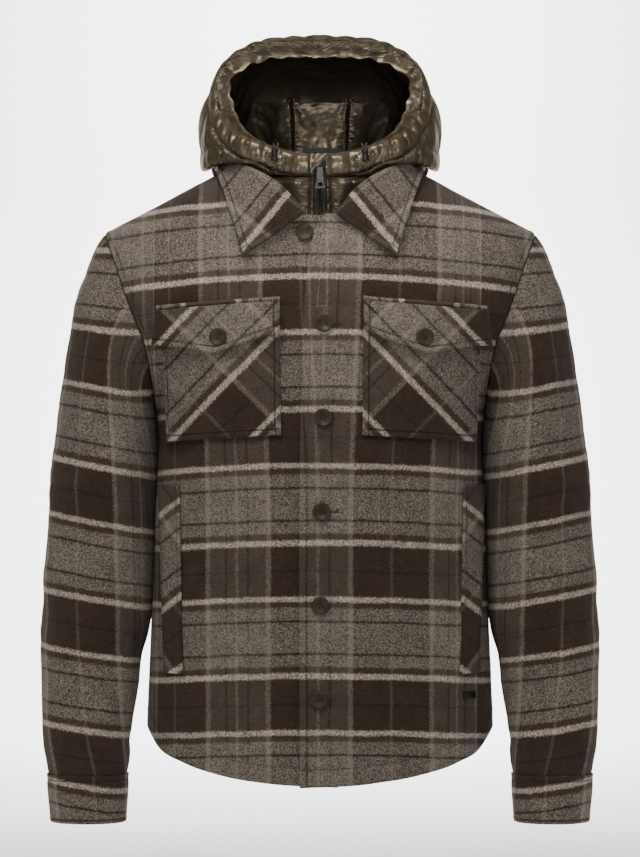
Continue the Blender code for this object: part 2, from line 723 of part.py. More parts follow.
def make_hood(nylon):
    """The quilted hood, one strip from one side of the zip round to the other."""
    sections = np.array(HOOD_SECTIONS)
    shares = np.concatenate([
        np.linspace(low, high, ROWS_IN_CHANNEL + 1)[:-1]
        for low, high in zip(QUILT_LINES, QUILT_LINES[1:])
    ] + [[1.0]])
    numbers = np.arange(sections.shape[1]) / (sections.shape[1] - 1)
    fine = []
    for section in sections:
        table = np.column_stack([numbers, section])
        fine.append([[smooth_value(table, share, 1 + k) for k in range(3)] for share in shares])
    half = smooth_path(np.array(fine).reshape(len(sections), -1), HOOD_HALF_COLUMNS)
    half = half.reshape(HOOD_HALF_COLUMNS, len(shares), 3)
    half[-1, :, 0] = 0
    base = both_halves(half)
    normals = grid_normals(base)
    if np.sum(normals * (base - HOOD_MIDDLE)) < 0:
        normals = -normals
    normals[[0, -1], :, 0] = 0
    puff = HOOD_PUFF * quilt_puff(shares, QUILT_LINES) * (shares < QUILT_LINES[-2])
    around = np.linspace(-1, 1, len(base))
    fade = ease(1 - np.abs(around), 0, 0.12)
    outer = base + normals * (puff[None, :] * (0.4 + 0.6 * fade[:, None]))[..., None]
    return cloth("hood", [(outer, base - HOOD_WALL * normals)], nylon)


def make_band(nylon):
    """The padded band that stands up inside the hood."""
    stations = smooth_path(BAND, 4 * BAND_CHANNELS + 1)
    low, high = stations[:, None, :3], stations[:, None, 3:]
    shares = np.linspace(0, 1, 5)
    half = low + (high - low) * shares[None, :, None]
    outer = both_halves(half)
    outward = unit(outer * np.array([1, 1, 0]) - np.array([0, -0.01, 0]))
    outward[..., 2] = 0
    around = np.linspace(-BAND_CHANNELS, BAND_CHANNELS, len(outer))
    puff = BAND_PUFF * np.outer(np.abs(np.sin(around * math.pi)) ** 0.7, np.sin(shares * math.pi) ** 0.5)
    inner = outer - outward * (BAND_WALL + puff)[..., None]
    return cloth("neck_band", [(outer, inner)], nylon)


def make_bibs(nylon):
    """The quilted fronts of the bib, either side of the zip."""
    across = np.linspace(0, 1, 5)
    rows = BIB[:, None, :]
    x = ZIP_HALF_GAP + (rows[..., 2] - ZIP_HALF_GAP) * across
    falls_back = BIB_FALLS_BACK * across**2 * np.ones_like(x)
    outer = np.stack([x, rows[..., 1] + falls_back, rows[..., 0] + BIB_RISES * across], axis=-1)
    channel = np.abs(np.sin(np.arange(len(BIB)) * math.pi / BIB_ROWS_A_CHANNEL)) * np.sin(across[None].T * math.pi)
    inner = outer + np.array([0, BIB_WALL, 0])
    outer = outer - np.array([0, 1, 0]) * (BIB_PUFF * channel.T)[..., None]
    cloth("bib_left", [(outer, inner)], nylon)
    cloth("bib_right", [(mirrored(outer), mirrored(inner))], nylon)


# Buttons and the hem plate


def basis(normal, up=(0.0, 0.0, 1.0)):
    """A rotation whose third axis is the normal and whose second is as near up as it can be."""
    third = Vector(normal).normalized()
    second = (Vector(up) - Vector(up).project(third)).normalized()
    first = second.cross(third)
    return Matrix((first, second, third)).transposed().to_4x4()


def front_place(x, z, side, height):
    """A point over a front, and the form's direction there."""
    reach = x if side == "left" else -x
    point = form_points(np.array(abs(x)), np.array(z), "front")
    point[0] = x
    normal = form_normals(np.array([abs(x), point[1], z]), "front")
    normal[0] *= -1 if x < 0 else 1
    lift = float(top_lift(np.array(reach))) if side == "left" else 0.0
    return point + normal * (height + lift), normal


def make_button(name, x, z, side, height, horn):
    """A four-hole button with a raised rim, lying on a front."""
    mesh = bmesh.new()
    bmesh.ops.create_cone(
        mesh, cap_ends=True, segments=16, radius1=BUTTON_RADIUS, radius2=BUTTON_RADIUS,
        depth=BUTTON_THICKNESS,
    )
    edges = [edge for edge in mesh.edges if abs(edge.verts[0].co.z - edge.verts[1].co.z) < 1e-6]
    bmesh.ops.bevel(
        mesh, geom=edges, offset=BUTTON_EDGE_ROUND, affect="EDGES", segments=1, profile=0.5, material=-1
    )
    top = [face for face in mesh.faces if face.normal.z > 0.9 and len(face.verts) > 4]
    bmesh.ops.inset_region(mesh, faces=top, thickness=BUTTON_RIM, depth=0.0)
    for vert in {vert for face in top for vert in face.verts}:
        vert.co.z -= BUTTON_DISH
    point, normal = front_place(x, z, side, height + BUTTON_THICKNESS / 2)
    made = finish(name, mesh, horn)
    made.matrix_world = Matrix.Translation(point) @ basis(normal)
    return made


def make_buttons(horn):
    """Five front buttons, the open collar's button and one on each pocket flap."""
    for number in range(BUTTON_COUNT):
        x = FIRST_BUTTON[0] + BUTTON_LEAN * number
        z = FIRST_BUTTON[1] - BUTTON_PITCH * number
        make_button(f"button_{number + 1}", x, z, "left", SEAM_GAP, horn)
    make_button("collar_button", *COLLAR_BUTTON, "right", SEAM_GAP, horn)
    on_flap = WALL + 2 * LAY_GAP + FLAP_THICKNESS + OUTER_RISE + SEAM_GAP
    for side, sign in (("left", 1), ("right", -1)):
        x = sign * (POCKET_BUTTON[0] + POCKET_SHIFT[side])
        make_button(f"pocket_button_{side}", x, POCKET_BUTTON[1], side, on_flap, horn)


def make_plate(metal):
    """The blank metal plate near the hem."""
    mesh = bmesh.new()
    bmesh.ops.create_cube(mesh, size=1)
    bmesh.ops.scale(mesh, vec=PLATE_SIZE, verts=mesh.verts[:])
    edges = [edge for edge in mesh.edges if abs(edge.verts[0].co.z - edge.verts[1].co.z) > 1e-6]
    bmesh.ops.bevel(
        mesh, geom=edges, offset=PLATE_CORNER, affect="EDGES", segments=2, profile=0.5, material=-1
    )
    point, normal = front_place(*PLATE_PLACE, "left", PLATE_SIZE[2] / 2 + SEAM_GAP)
    made = finish("hem_plate", mesh, metal, smooth=False)
    made.matrix_world = Matrix.Translation(point) @ basis(normal)


# Zip


def bib_face(z):
    """The bib's face at the zip."""
    return float(smooth_value(BIB, np.array(z), 1))


def make_zip(tape_cloth, metal):
    """Zip tapes, the slider and its pull."""
    heights = np.array([ZIP_BOTTOM, *ZIP_BENDS, ZIP_TOP])
    face = np.array([bib_face(z) for z in heights])
    x = np.broadcast_to(np.array([TAPE_INNER_X, TAPE_OUTER_X]), (len(heights), 2))
    outer = np.stack([x, np.repeat(face[:, None], 2, axis=1), np.repeat(heights[:, None], 2, axis=1)], axis=-1)
    inner = outer + np.array([0, TAPE_THICKNESS, 0])
    cloth("zip_tape_left", [(outer, inner)], tape_cloth)
    cloth("zip_tape_right", [(mirrored(outer), mirrored(inner))], tape_cloth)
    mesh = bmesh.new()
    bmesh.ops.create_cube(mesh, size=1)
    bmesh.ops.scale(mesh, vec=SLIDER_SIZE, verts=mesh.verts[:])
    bmesh.ops.bevel(
        mesh, geom=mesh.edges[:], offset=SLIDER_EDGE, affect="EDGES", segments=1, profile=0.5, material=-1
    )
    made = finish("zip_slider", mesh, metal)
    tape_y = bib_face(SLIDER_TOP)
    made.location = (0, tape_y - SEAM_GAP - SLIDER_SIZE[1] / 2, SLIDER_TOP - SLIDER_SIZE[2] / 2)
    make_pull(metal)


def make_pull(metal):
    """The flat pull with a window in its lower end, hanging from the slider."""
    window_low = -PULL_LENGTH + (PULL_WIDTH - PULL_WINDOW[0]) / 2
    outline = (
        (-PULL_NECK_WIDTH / 2, 0.0),
        (PULL_NECK_WIDTH / 2, 0.0),
        (PULL_NECK_WIDTH / 2, window_low + PULL_WINDOW[1]),
        (PULL_WIDTH / 2, window_low + PULL_WINDOW[1] - PULL_SHOULDER),
        (PULL_WIDTH / 2, -PULL_LENGTH),
        (-PULL_WIDTH / 2, -PULL_LENGTH),
        (-PULL_WIDTH / 2, window_low + PULL_WINDOW[1] - PULL_SHOULDER),
        (-PULL_NECK_WIDTH / 2, window_low + PULL_WINDOW[1]),
    )
    mesh = bmesh.new()
    face = mesh.faces.new([mesh.verts.new((x, 0, z)) for x, z in outline])
    made = bmesh.ops.extrude_face_region(mesh, geom=[face], use_keep_orig=True)
    moved = [vert for vert in made["geom"] if isinstance(vert, bmesh.types.BMVert)]
    bmesh.ops.translate(mesh, vec=(0, -PULL_THICKNESS, 0), verts=moved)
    pull = finish("zip_pull", mesh, metal, smooth=False)
    pull.location = PULL_AXIS
    cutter_mesh = bmesh.new()
    bmesh.ops.create_cube(cutter_mesh, size=1)
    size = (PULL_WINDOW[0], 4 * PULL_THICKNESS, PULL_WINDOW[1])
    bmesh.ops.scale(cutter_mesh, vec=size, verts=cutter_mesh.verts[:])
    cutter = finish("pull_window_cutter", cutter_mesh, metal, smooth=False)
    cutter.location = Vector(PULL_AXIS) + Vector((0, 0, window_low + PULL_WINDOW[1] / 2))
    cutter.hide_render = True
    cutter.display_type = "WIRE"
    cut = pull.modifiers.new("window", "BOOLEAN")
    cut.operation = "DIFFERENCE"
    cut.object = cutter


def make_guard(nylon):
    """The flap of nylon that covers the top of the zip."""
    mesh = bmesh.new()
    face = mesh.faces.new([mesh.verts.new((x, GUARD_FACE, z)) for x, z in GUARD])
    made = bmesh.ops.extrude_face_region(mesh, geom=[face], use_keep_orig=True)
    moved = [vert for vert in made["geom"] if isinstance(vert, bmesh.types.BMVert)]
    bmesh.ops.translate(mesh, vec=(0, GUARD_THICKNESS, 0), verts=moved)
    finish("zip_guard", mesh, nylon, smooth=False)


# Drawcord hardware and hanger loop


def surface_of(made):
    """A tree of a piece's faces, to lay small things on."""
    data = made.data
    return BVHTree.FromPolygons([v.co for v in data.vertices], [p.vertices[:] for p in data.polygons])


def facing_place(tree, x, z):
    """The first point of a surface seen from the front at x, z, and the surface's direction there."""
    point, normal, _, _ = tree.ray_cast(Vector((x, -1, z)), Vector((0, 1, 0)))
    return point, normal if normal.y < 0 else -normal


def make_eyelets(tree, metal):
    """Four metal eyelets beside the zip."""
    number = 0
    for sign in (1, -1):
        for x, z in EYELETS:
            number += 1
            mesh = bmesh.new()
            circle = bmesh.ops.create_circle(mesh, segments=5, radius=EYELET_WIRE)
            bmesh.ops.rotate(mesh, verts=mesh.verts[:], matrix=Matrix.Rotation(math.pi / 2, 3, "X"))
            bmesh.ops.translate(mesh, vec=(EYELET_RADIUS, 0, 0), verts=circle["verts"])
            bmesh.ops.spin(
                mesh, geom=mesh.verts[:] + mesh.edges[:], axis=(0, 0, 1), cent=(0, 0, 0),
                angle=math.tau, steps=12, use_merge=True,
            )
            bmesh.ops.remove_doubles(mesh, verts=mesh.verts[:], dist=1e-6)
            made = finish(f"eyelet_{number}", mesh, metal)
            point, normal = facing_place(tree, sign * x, z)
            lifted = point + normal * (EYELET_WIRE + EYELET_STANDS_OFF)
            made.matrix_world = Matrix.Translation(lifted) @ basis(normal)


def make_locks(tree, metal):
    """A cord lock between each pair of eyelets, with a hole up through it for the cords."""
    for side, sign in (("left", 1), ("right", -1)):
        point, normal = facing_place(tree, sign * LOCK_PLACE[0], LOCK_PLACE[1])
        outward = Vector((normal.x, normal.y, 0)).normalized()
        turn = Matrix((Vector((0, 0, 1)).cross(outward), Vector((0, 0, 1)), outward)).transposed().to_4x4()
        place = Matrix.Translation(point + outward * LOCK_STANDS_OFF) @ turn
        mesh = bmesh.new()
        bmesh.ops.create_cube(mesh, size=1)
        bmesh.ops.scale(mesh, vec=(LOCK_SIZE[0], LOCK_SIZE[2], LOCK_SIZE[1]), verts=mesh.verts[:])
        bmesh.ops.bevel(
            mesh, geom=mesh.edges[:], offset=LOCK_EDGE, affect="EDGES", segments=1, profile=0.5,
            material=-1,
        )
        lock = finish(f"cord_lock_{side}", mesh, metal)
        lock.matrix_world = place
        hole_mesh = bmesh.new()
        bmesh.ops.create_cube(hole_mesh, size=1)
        bmesh.ops.scale(hole_mesh, vec=(LOCK_HOLE[0], 2 * LOCK_SIZE[2], LOCK_HOLE[1]), verts=hole_mesh.verts[:])
        hole = finish(f"lock_hole_cutter_{side}", hole_mesh, metal, smooth=False)
        hole.matrix_world = place
        hole.hide_render = True
        hole.display_type = "WIRE"
        cut = lock.modifiers.new("hole", "BOOLEAN")
        cut.operation = "DIFFERENCE"
        cut.object = hole


def make_cord(name, route, cord_cloth):
    """A round cord along a smooth route."""
    curve = bpy.data.curves.new(name, "CURVE")
    curve.dimensions = "3D"
    curve.bevel_depth = CORD_RADIUS
    curve.bevel_resolution = 2
    curve.use_fill_caps = True
    points = smooth_path(route, CORD_POINTS)
    line = curve.splines.new("POLY")
    line.points.add(len(points) - 1)
    for point, place in zip(line.points, points):
        point.co = (*place, 1)
    curve.materials.append(cord_cloth)
    made = bpy.data.objects.new(name, curve)
    bpy.context.scene.collection.objects.link(made)


def make_cords(cord_cloth):
    """Two short cord ends on each side, from an eyelet up through the lock to a free end."""
    for side, sign in (("left", 1), ("right", -1)):
        for name, route in CORD_ROUTES.items():
            points = [(sign * x, y, z) for x, y, z in route]
            make_cord(f"drawcord_{side}_{name}", points, cord_cloth)


def make_hanger(tree, tape_cloth):
    """The hanging loop at the foot of the band."""
    across = np.linspace(0, 1, 7)
    x = HANGER_ENDS[0] + (HANGER_ENDS[1] - HANGER_ENDS[0]) * across
    middle = sum(HANGER_HEIGHTS) / 2
    face = np.array([facing_place(tree, place, middle)[0].y for place in x])
    y = np.min(face) - SEAM_GAP - HANGER_BULGE * np.sin(across * math.pi) ** 0.8
    rows = [np.column_stack([x, y, np.full_like(x, height)]) for height in HANGER_HEIGHTS]
    inner = np.array(rows)
    cloth("hanger_loop", [(inner - np.array([0, HANGER_THICKNESS, 0]), inner)], tape_cloth)


def main():
    """Builds every piece."""
    for left_over in list(bpy.data.objects):
        bpy.data.objects.remove(left_over)
    wool = material("plaid wool", (0.17, 0.145, 0.12), 0.9)
    nylon = material("glossy nylon", (0.11, 0.095, 0.075), 0.35)
    horn = material("dark horn", (0.05, 0.04, 0.03), 0.35)
    metal = material("dark metal", (0.16, 0.15, 0.14), 0.35, 1.0)
    tape_cloth = material("zip tape", (0.04, 0.035, 0.03), 0.8)
    make_body(wool)
    make_sleeves(wool)
    make_patches(wool)
    make_collar(wool)
    make_collar_stand(wool)
    hood = surface_of(make_hood(nylon))
    band = surface_of(make_band(nylon))
    make_bibs(nylon)
    make_buttons(horn)
    make_plate(metal)
    make_zip(tape_cloth, metal)
    make_guard(nylon)
    make_eyelets(hood, metal)
    make_locks(hood, metal)
    make_cords(tape_cloth)
    make_hanger(band, tape_cloth)


main()
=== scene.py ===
"""Looks of the plaid wool shirt jacket with its quilted nylon bib and hood.

Metres, +Z up, the front faces -Y. The cloth pieces are made again on the frame's own worn form, finer,
with their folds, seams, stitches and weave.
"""

import math

import bmesh
import bpy
import numpy as np
from mathutils import Matrix, Vector


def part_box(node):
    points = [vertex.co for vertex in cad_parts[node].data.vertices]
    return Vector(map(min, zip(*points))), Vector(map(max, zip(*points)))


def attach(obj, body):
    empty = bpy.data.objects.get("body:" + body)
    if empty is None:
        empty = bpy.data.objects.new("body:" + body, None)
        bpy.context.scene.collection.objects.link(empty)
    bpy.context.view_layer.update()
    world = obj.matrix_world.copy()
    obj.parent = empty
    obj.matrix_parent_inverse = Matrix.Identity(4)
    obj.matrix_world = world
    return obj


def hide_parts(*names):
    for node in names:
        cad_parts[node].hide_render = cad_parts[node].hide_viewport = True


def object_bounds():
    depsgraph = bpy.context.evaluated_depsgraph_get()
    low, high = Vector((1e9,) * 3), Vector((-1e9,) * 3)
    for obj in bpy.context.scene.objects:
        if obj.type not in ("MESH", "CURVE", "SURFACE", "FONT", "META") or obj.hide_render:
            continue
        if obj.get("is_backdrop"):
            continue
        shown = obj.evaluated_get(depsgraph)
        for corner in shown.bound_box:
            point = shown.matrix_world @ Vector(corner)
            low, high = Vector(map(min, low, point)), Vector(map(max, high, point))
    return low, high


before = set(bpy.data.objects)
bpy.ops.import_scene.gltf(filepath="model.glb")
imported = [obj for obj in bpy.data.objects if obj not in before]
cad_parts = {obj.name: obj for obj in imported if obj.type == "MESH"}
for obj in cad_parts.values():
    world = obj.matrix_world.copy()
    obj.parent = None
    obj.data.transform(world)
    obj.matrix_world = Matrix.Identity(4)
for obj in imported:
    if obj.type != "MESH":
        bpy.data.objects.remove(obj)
CAD_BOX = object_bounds()

# The frame's driving sizes
WALL = 0.003
SEAM_GAP = 0.0003
LAY_GAP = 0.0011
ROUNDNESS = 2.3
HIGH_SHOULDER = (0.0975, 0.016)
SHOULDER_TIP = (0.245, -0.0615)
ARMPIT = (0.187, -0.262)
NECK_FRONT = -0.046
NECK_BACK = -0.001
ARMHOLE_DEPTH = {"front": 0.072, "back": 0.080}
OVERLAP_UNDER = 0.020
OVERLAP_LIFT = 0.0048
LIFT_ENDS = (0.036, 0.075)

# How finely the cloth is divided
ARMHOLE_STEPS = 56
NECK_STEPS = 24
BODY_ROWS = 110
HALF_COLUMNS = 72

# Sections of the worn body: height, half width at the side seam or armhole, depth front and back
BODY = np.array([
    # z, half_width, front, back
    (-0.700, 0.1995, 0.128, 0.115),
    (-0.620, 0.1970, 0.128, 0.112),
    (-0.524, 0.1930, 0.129, 0.107),
    (-0.448, 0.1900, 0.130, 0.104),
    (-0.330, 0.1850, 0.131, 0.109),
    (-0.296, 0.1845, 0.131, 0.113),
    (-0.262, 0.1870, 0.131, 0.116),
    (-0.217, 0.1920, 0.131, 0.119),
    (-0.191, 0.1970, 0.131, 0.120),
    (-0.150, 0.2127, 0.127, 0.119),
    (-0.120, 0.2235, 0.120, 0.116),
    (-0.094, 0.2325, 0.112, 0.110),
    (-0.0615, 0.2450, 0.104, 0.101),
    (-0.045, 0.2490, 0.100, 0.095),
    (-0.015, 0.2600, 0.090, 0.086),
    (0.016, 0.2700, 0.080, 0.078),
])

# Shirt-tail hem: place from the centre line (0) to the side seam (1), height
HEM = np.array([
    # across, z
    (0.00, -0.680),
    (0.35, -0.676),
    (0.60, -0.668),
    (0.80, -0.655),
    (0.92, -0.642),
    (1.00, -0.620),
])

# Edge of the top placket, which leans in towards the neck: height, x
PLACKET_EDGE = np.array([
    # z, x
    (-0.680, -0.0222),
    (-0.340, -0.0222),
    (-0.230, -0.0204),
    (-0.166, -0.0182),
    (-0.105, -0.0138),
    (-0.087, -0.0110),
    (-0.067, -0.0065),
    (-0.046, +0.0045),
])

# Sleeve rings from the armhole to the wrist
SLEEVE = np.array([
    # outer_x, outer_z, inner_x, inner_z, centre_y, half_depth
    (0.2571, -0.0806, 0.1885, -0.268, 0.004, 0.078),
    (0.2678, -0.1090, 0.1897, -0.276, 0.004, 0.080),
    (0.2787, -0.1437, 0.1905, -0.287, 0.003, 0.081),
    (0.2875, -0.1942, 0.1905, -0.304, 0.002, 0.080),
    (0.2970, -0.2600, 0.1900, -0.330, 0.001, 0.078),
    (0.3040, -0.3200, 0.1910, -0.362, 0.000, 0.075),
    (0.3084, -0.3865, 0.1930, -0.405, -0.003, 0.071),
    (0.3128, -0.4488, 0.1950, -0.458, -0.008, 0.066),
    (0.3156, -0.5088, 0.1985, -0.512, -0.016, 0.060),
    (0.3164, -0.5688, 0.2055, -0.569, -0.026, 0.053),
    (0.3132, -0.6254, 0.2135, -0.626, -0.038, 0.047),
    (0.3060, -0.6705, 0.2165, -0.6705, -0.050, 0.042),
])
CUFF = np.array([
    # outer_x, outer_z, inner_x, inner_z, centre_y, half_depth
    (0.3075, -0.6708, 0.2150, -0.6708, -0.050, 0.0435),
    (0.3060, -0.6890, 0.2160, -0.6890, -0.052, 0.0430),
    (0.3045, -0.7070, 0.2168, -0.7070, -0.054, 0.0425),
    (0.3030, -0.7240, 0.2175, -0.7240, -0.056, 0.0420),
])

# Patches on each front, in places of the wearer's right side: corners from the centre outwards
POCKET_SHIFT = {"left": 0.0035, "right": 0.0}
POCKET = {
    "top": ((0.0440, -0.1505), (0.1740, -0.1580)),
    "bottom": ((0.0425, -0.2905), (0.1680, -0.2980)),
}
FLAP = {
    "top": ((0.0438, -0.1440), (0.1790, -0.1518)),
    "bottom": ((0.0438, -0.1765), (0.1800, -0.1873)),
}
FLAP_POINT = (0.1125, -0.1996)
RIDGE_HEIGHT = 0.005
RIDGE_THICKNESS = 0.006
FLAP_THICKNESS = 0.004
OUTER_RISE = 0.0010
SIDE_WELT = {
    "top": ((0.1555, -0.3465), (0.1787, -0.3465)),
    "bottom": ((0.1515, -0.5570), (0.1720, -0.5570)),
}
PLATE_PLACE = (0.1665, -0.581)
PLATE_SIZE = (0.020, 0.008, 0.0015)
PLATE_CORNER = 0.0015

# Buttons
BUTTON_RADIUS = 0.010
BUTTON_THICKNESS = 0.0036
BUTTON_PITCH = 0.1036
FIRST_BUTTON = (0.0045, -0.1676)
BUTTON_LEAN = -0.0013
COLLAR_BUTTON = (-0.0172, -0.0652)
POCKET_BUTTON = (0.1095, -0.1820)

# Collar, half of it from the front to the middle of the back: roll line and outer edge
COLLAR = np.array([
    # roll_x, roll_y, roll_z, edge_x, edge_y, edge_z
    (0.0165, -0.1135, -0.0440, 0.0843, -0.112, -0.0921),
    (0.0273, -0.1140, -0.0297, 0.0885, -0.108, -0.0780),
    (0.0418, -0.1130, -0.0148, 0.0930, -0.104, -0.0620),
    (0.0567, -0.1090, -0.0032, 0.0985, -0.098, -0.0460),
    (0.0740, -0.0965, 0.0060, 0.1040, -0.090, -0.0290),
    (0.0905, -0.0700, 0.0130, 0.1095, -0.070, -0.0120),
    (0.1000, -0.0350, 0.0200, 0.1160, -0.038, 0.0040),
    (0.1020, 0.0050, 0.0260, 0.1210, 0.005, 0.0080),
    (0.0980, 0.0490, 0.0300, 0.1170, 0.058, 0.0000),
    (0.0670, 0.0820, 0.0330, 0.0800, 0.099, -0.0180),
    (0.0000, 0.0960, 0.0340, 0.0000, 0.112, -0.0260),
])
COLLAR_WALL = 0.0035
COLLAR_OFF_BODY = 0.0085

# Collar stand: the collar's station that each point of the neckline meets, from the front
STAND_MEETS_ROLL = (4.0, 4.9, 5.7, 6.9, 7.4, 7.8, 8.3, 8.8, 9.4, 10.0)
STAND_INSET = 0.0038
STAND_DROP = 0.0040

# Hood, half of it from the zip to the middle of the back: points of each section, rim to neck seam
HOOD_SECTIONS = (
    # rim, upper, middle, low, neck, seam
    ((0.007, -0.1040, 0.0210), (0.007, -0.1090, 0.0170), (0.007, -0.1100, 0.0110),
     (0.007, -0.1100, 0.0060), (0.007, -0.1090, 0.0010), (0.007, -0.1070, -0.0035)),
    ((0.031, -0.1020, 0.0245), (0.032, -0.1085, 0.0190), (0.033, -0.1100, 0.0130),
     (0.034, -0.1095, 0.0070), (0.034, -0.1085, 0.0020), (0.034, -0.1060, -0.0020)),
    ((0.053, -0.0950, 0.0310), (0.055, -0.1020, 0.0260), (0.056, -0.1030, 0.0190),
     (0.057, -0.1020, 0.0120), (0.057, -0.1000, 0.0060), (0.057, -0.0960, 0.0005)),
    ((0.077, -0.0760, 0.0450), (0.088, -0.0870, 0.0400), (0.096, -0.0885, 0.0300),
     (0.096, -0.0865, 0.0195), (0.0812, -0.0782, 0.0140), (0.0792, -0.0740, 0.0040)),
    ((0.093, -0.0400, 0.0680), (0.110, -0.0520, 0.0610), (0.122, -0.0520, 0.0420),
     (0.121, -0.0480, 0.0180), (0.092, -0.0370, 0.0260), (0.085, -0.0320, 0.0080)),
    ((0.103, -0.0100, 0.1070), (0.119, -0.0120, 0.0980), (0.133, -0.0060, 0.0580),
     (0.134, 0.0020, 0.0150), (0.0920, 0.0020, 0.0360), (0.0870, 0.0020, 0.0120)),
    ((0.094, 0.0080, 0.1240), (0.109, 0.0160, 0.1370), (0.135, 0.0520, 0.0820),
     (0.129, 0.0600, 0.0240), (0.084, 0.0420, 0.0410), (0.0790, 0.0390, 0.0120)),
    ((0.060, 0.0180, 0.1400), (0.065, 0.0270, 0.1590), (0.086, 0.1180, 0.1200),
     (0.084, 0.1200, 0.0490), (0.056, 0.0720, 0.0430), (0.0540, 0.0665, 0.0110)),
    ((0.000, 0.0200, 0.1430), (0.000, 0.0300, 0.1645), (0.000, 0.1480, 0.1240),
     (0.000, 0.1450, 0.0620), (0.000, 0.0810, 0.0430), (0.000, 0.0745, 0.0100)),
)
HOOD_MIDDLE = (0.0, 0.02, 0.06)
HOOD_WALL = 0.005

# Padded band inside the hood, half of it from the front to the middle of the back
BAND = np.array([
    # low_x, low_y, low_z, high_x, high_y, high_z
    (0.0500, -0.0880, 0.0000, 0.0480, -0.0860, 0.0210),
    (0.0690, -0.0600, 0.0060, 0.0690, -0.0600, 0.0430),
    (0.0790, -0.0050, 0.0120, 0.0780, -0.0100, 0.0700),
    (0.0720, 0.0380, 0.0130, 0.0770, 0.0380, 0.0880),
    (0.0450, 0.0600, 0.0130, 0.0500, 0.0650, 0.0950),
    (0.0000, 0.0678, 0.0120, 0.0000, 0.0720, 0.0950),
])
BAND_WALL = 0.006

# Quilted fronts of the inner bib, from the hood's seam down behind the wool: height, outer face, widest x
BIB = np.array([
    # z, y, wide_x
    (-0.120, -0.0980, 0.066),
    (-0.100, -0.0960, 0.066),
    (-0.080, -0.0930, 0.066),
    (-0.062, -0.0905, 0.064),
    (-0.046, -0.0900, 0.060),
    (-0.034, -0.0905, 0.056),
    (-0.022, -0.0970, 0.052),
    (-0.012, -0.1015, 0.048),
    (-0.0045, -0.1040, 0.044),
])
BIB_WALL = 0.004
BIB_FALLS_BACK = 0.010
BIB_RISES = 0.0015
ZIP_HALF_GAP = 0.0070

# Zip
ZIP_TOP = 0.0150
ZIP_BOTTOM = -0.1180
TAPE_INNER_X = 0.0012
TAPE_OUTER_X = 0.0067
TAPE_THICKNESS = 0.0012
SLIDER_SIZE = (0.0085, 0.0045, 0.0090)
SLIDER_TOP = 0.0080
GUARD = ((-0.0115, 0.0215), (0.0105, 0.0215), (-0.0105, 0.0010))
GUARD_FACE = -0.1146
GUARD_THICKNESS = 0.0020

# Drawcords
CORD_RADIUS = 0.0008
CORD_ROUTES = {
    # x, y, z on the wearer's left, from the eyelet to the free end
    "inner": (
        (0.0387, -0.1136, 0.0172),
        (0.0402, -0.1170, 0.0125),
        (0.0445, -0.1165, 0.0080),
        (0.0473, -0.1145, 0.0100),
        (0.0476, -0.1140, 0.0140),
        (0.0476, -0.1140, 0.0210),
        (0.0476, -0.1140, 0.0280),
        (0.0462, -0.1150, 0.0330),
    ),
    "outer": (
        (0.0565, -0.1085, 0.0225),
        (0.0580, -0.1120, 0.0170),
        (0.0555, -0.1145, 0.0105),
        (0.0515, -0.1145, 0.0080),
        (0.0502, -0.1134, 0.0110),
        (0.0502, -0.1132, 0.0150),
        (0.0502, -0.1132, 0.0280),
        (0.0518, -0.1140, 0.0330),
    ),
}
HANGER_THICKNESS = 0.0015


# The worn form


def smooth_value(table, place, column):
    """The value of one column at a place in the first column, on a smooth curve through the rows."""
    places = table[:, 0]
    values = table[:, column]
    slopes = np.gradient(values, places)
    place = np.clip(place, places[0], places[-1])
    low = np.clip(np.searchsorted(places, place) - 1, 0, len(places) - 2)
    span = places[low + 1] - places[low]
    t = (place - places[low]) / span
    return (
        values[low] * (1 + 2 * t) * (1 - t) ** 2
        + slopes[low] * span * t * (1 - t) ** 2
        + values[low + 1] * (3 - 2 * t) * t**2
        + slopes[low + 1] * span * (t - 1) * t**2
    )


def smooth_path(points, count):
    """Evenly numbered points on a smooth curve through a few points."""
    points = np.asarray(points, float)
    numbers = np.arange(len(points), dtype=float)
    places = np.linspace(0, len(points) - 1, count)
    table = np.column_stack([numbers, points])
    return np.column_stack([smooth_value(table, places, 1 + k) for k in range(points.shape[1])])


def ease(value, low, high):
    """0 below low and 1 above high, with a soft change between."""
    t = np.clip((value - low) / (high - low), 0, 1)
    return t * t * (3 - 2 * t)


def half_width(z):
    """Half width of the form at a height: side seam, armhole, then the sloping shoulder line."""
    slope = (SHOULDER_TIP[0] - HIGH_SHOULDER[0]) / (HIGH_SHOULDER[1] - SHOULDER_TIP[1])
    ridge = HIGH_SHOULDER[0] + (HIGH_SHOULDER[1] - z) * slope
    return np.where(z > SHOULDER_TIP[1], ridge, smooth_value(BODY, z, 1))


def armhole_turn(z):
    """How far round the armhole a height is, from 0 at the armpit to pi at the shoulder tip."""
    share = np.clip((z - ARMPIT[1]) / (SHOULDER_TIP[1] - ARMPIT[1]), 0, 1)
    return np.arccos(1 - 2 * share)


def full_width(z, side):
    """Half width of the whole section, as if the armhole weren't cut out of it."""
    depth = ARMHOLE_DEPTH[side] * np.sin(armhole_turn(z)) ** 0.9
    centre = smooth_value(BODY, z, 2 if side == "front" else 3)
    return half_width(z) / (1 - (depth / centre) ** ROUNDNESS) ** (1 / ROUNDNESS)


def form_depth(x, z, side):
    """How far the form lies before or behind the shoulder line."""
    share = np.clip(np.abs(x) / full_width(z, side), 0, 1)
    centre = smooth_value(BODY, z, 2 if side == "front" else 3)
    return centre * (1 - share**ROUNDNESS) ** (1 / ROUNDNESS)


def form_points(x, z, side):
    """Points of the form at places seen from the front."""
    facing = -1 if side == "front" else 1
    return np.stack([x, facing * form_depth(x, z, side), z], axis=-1)


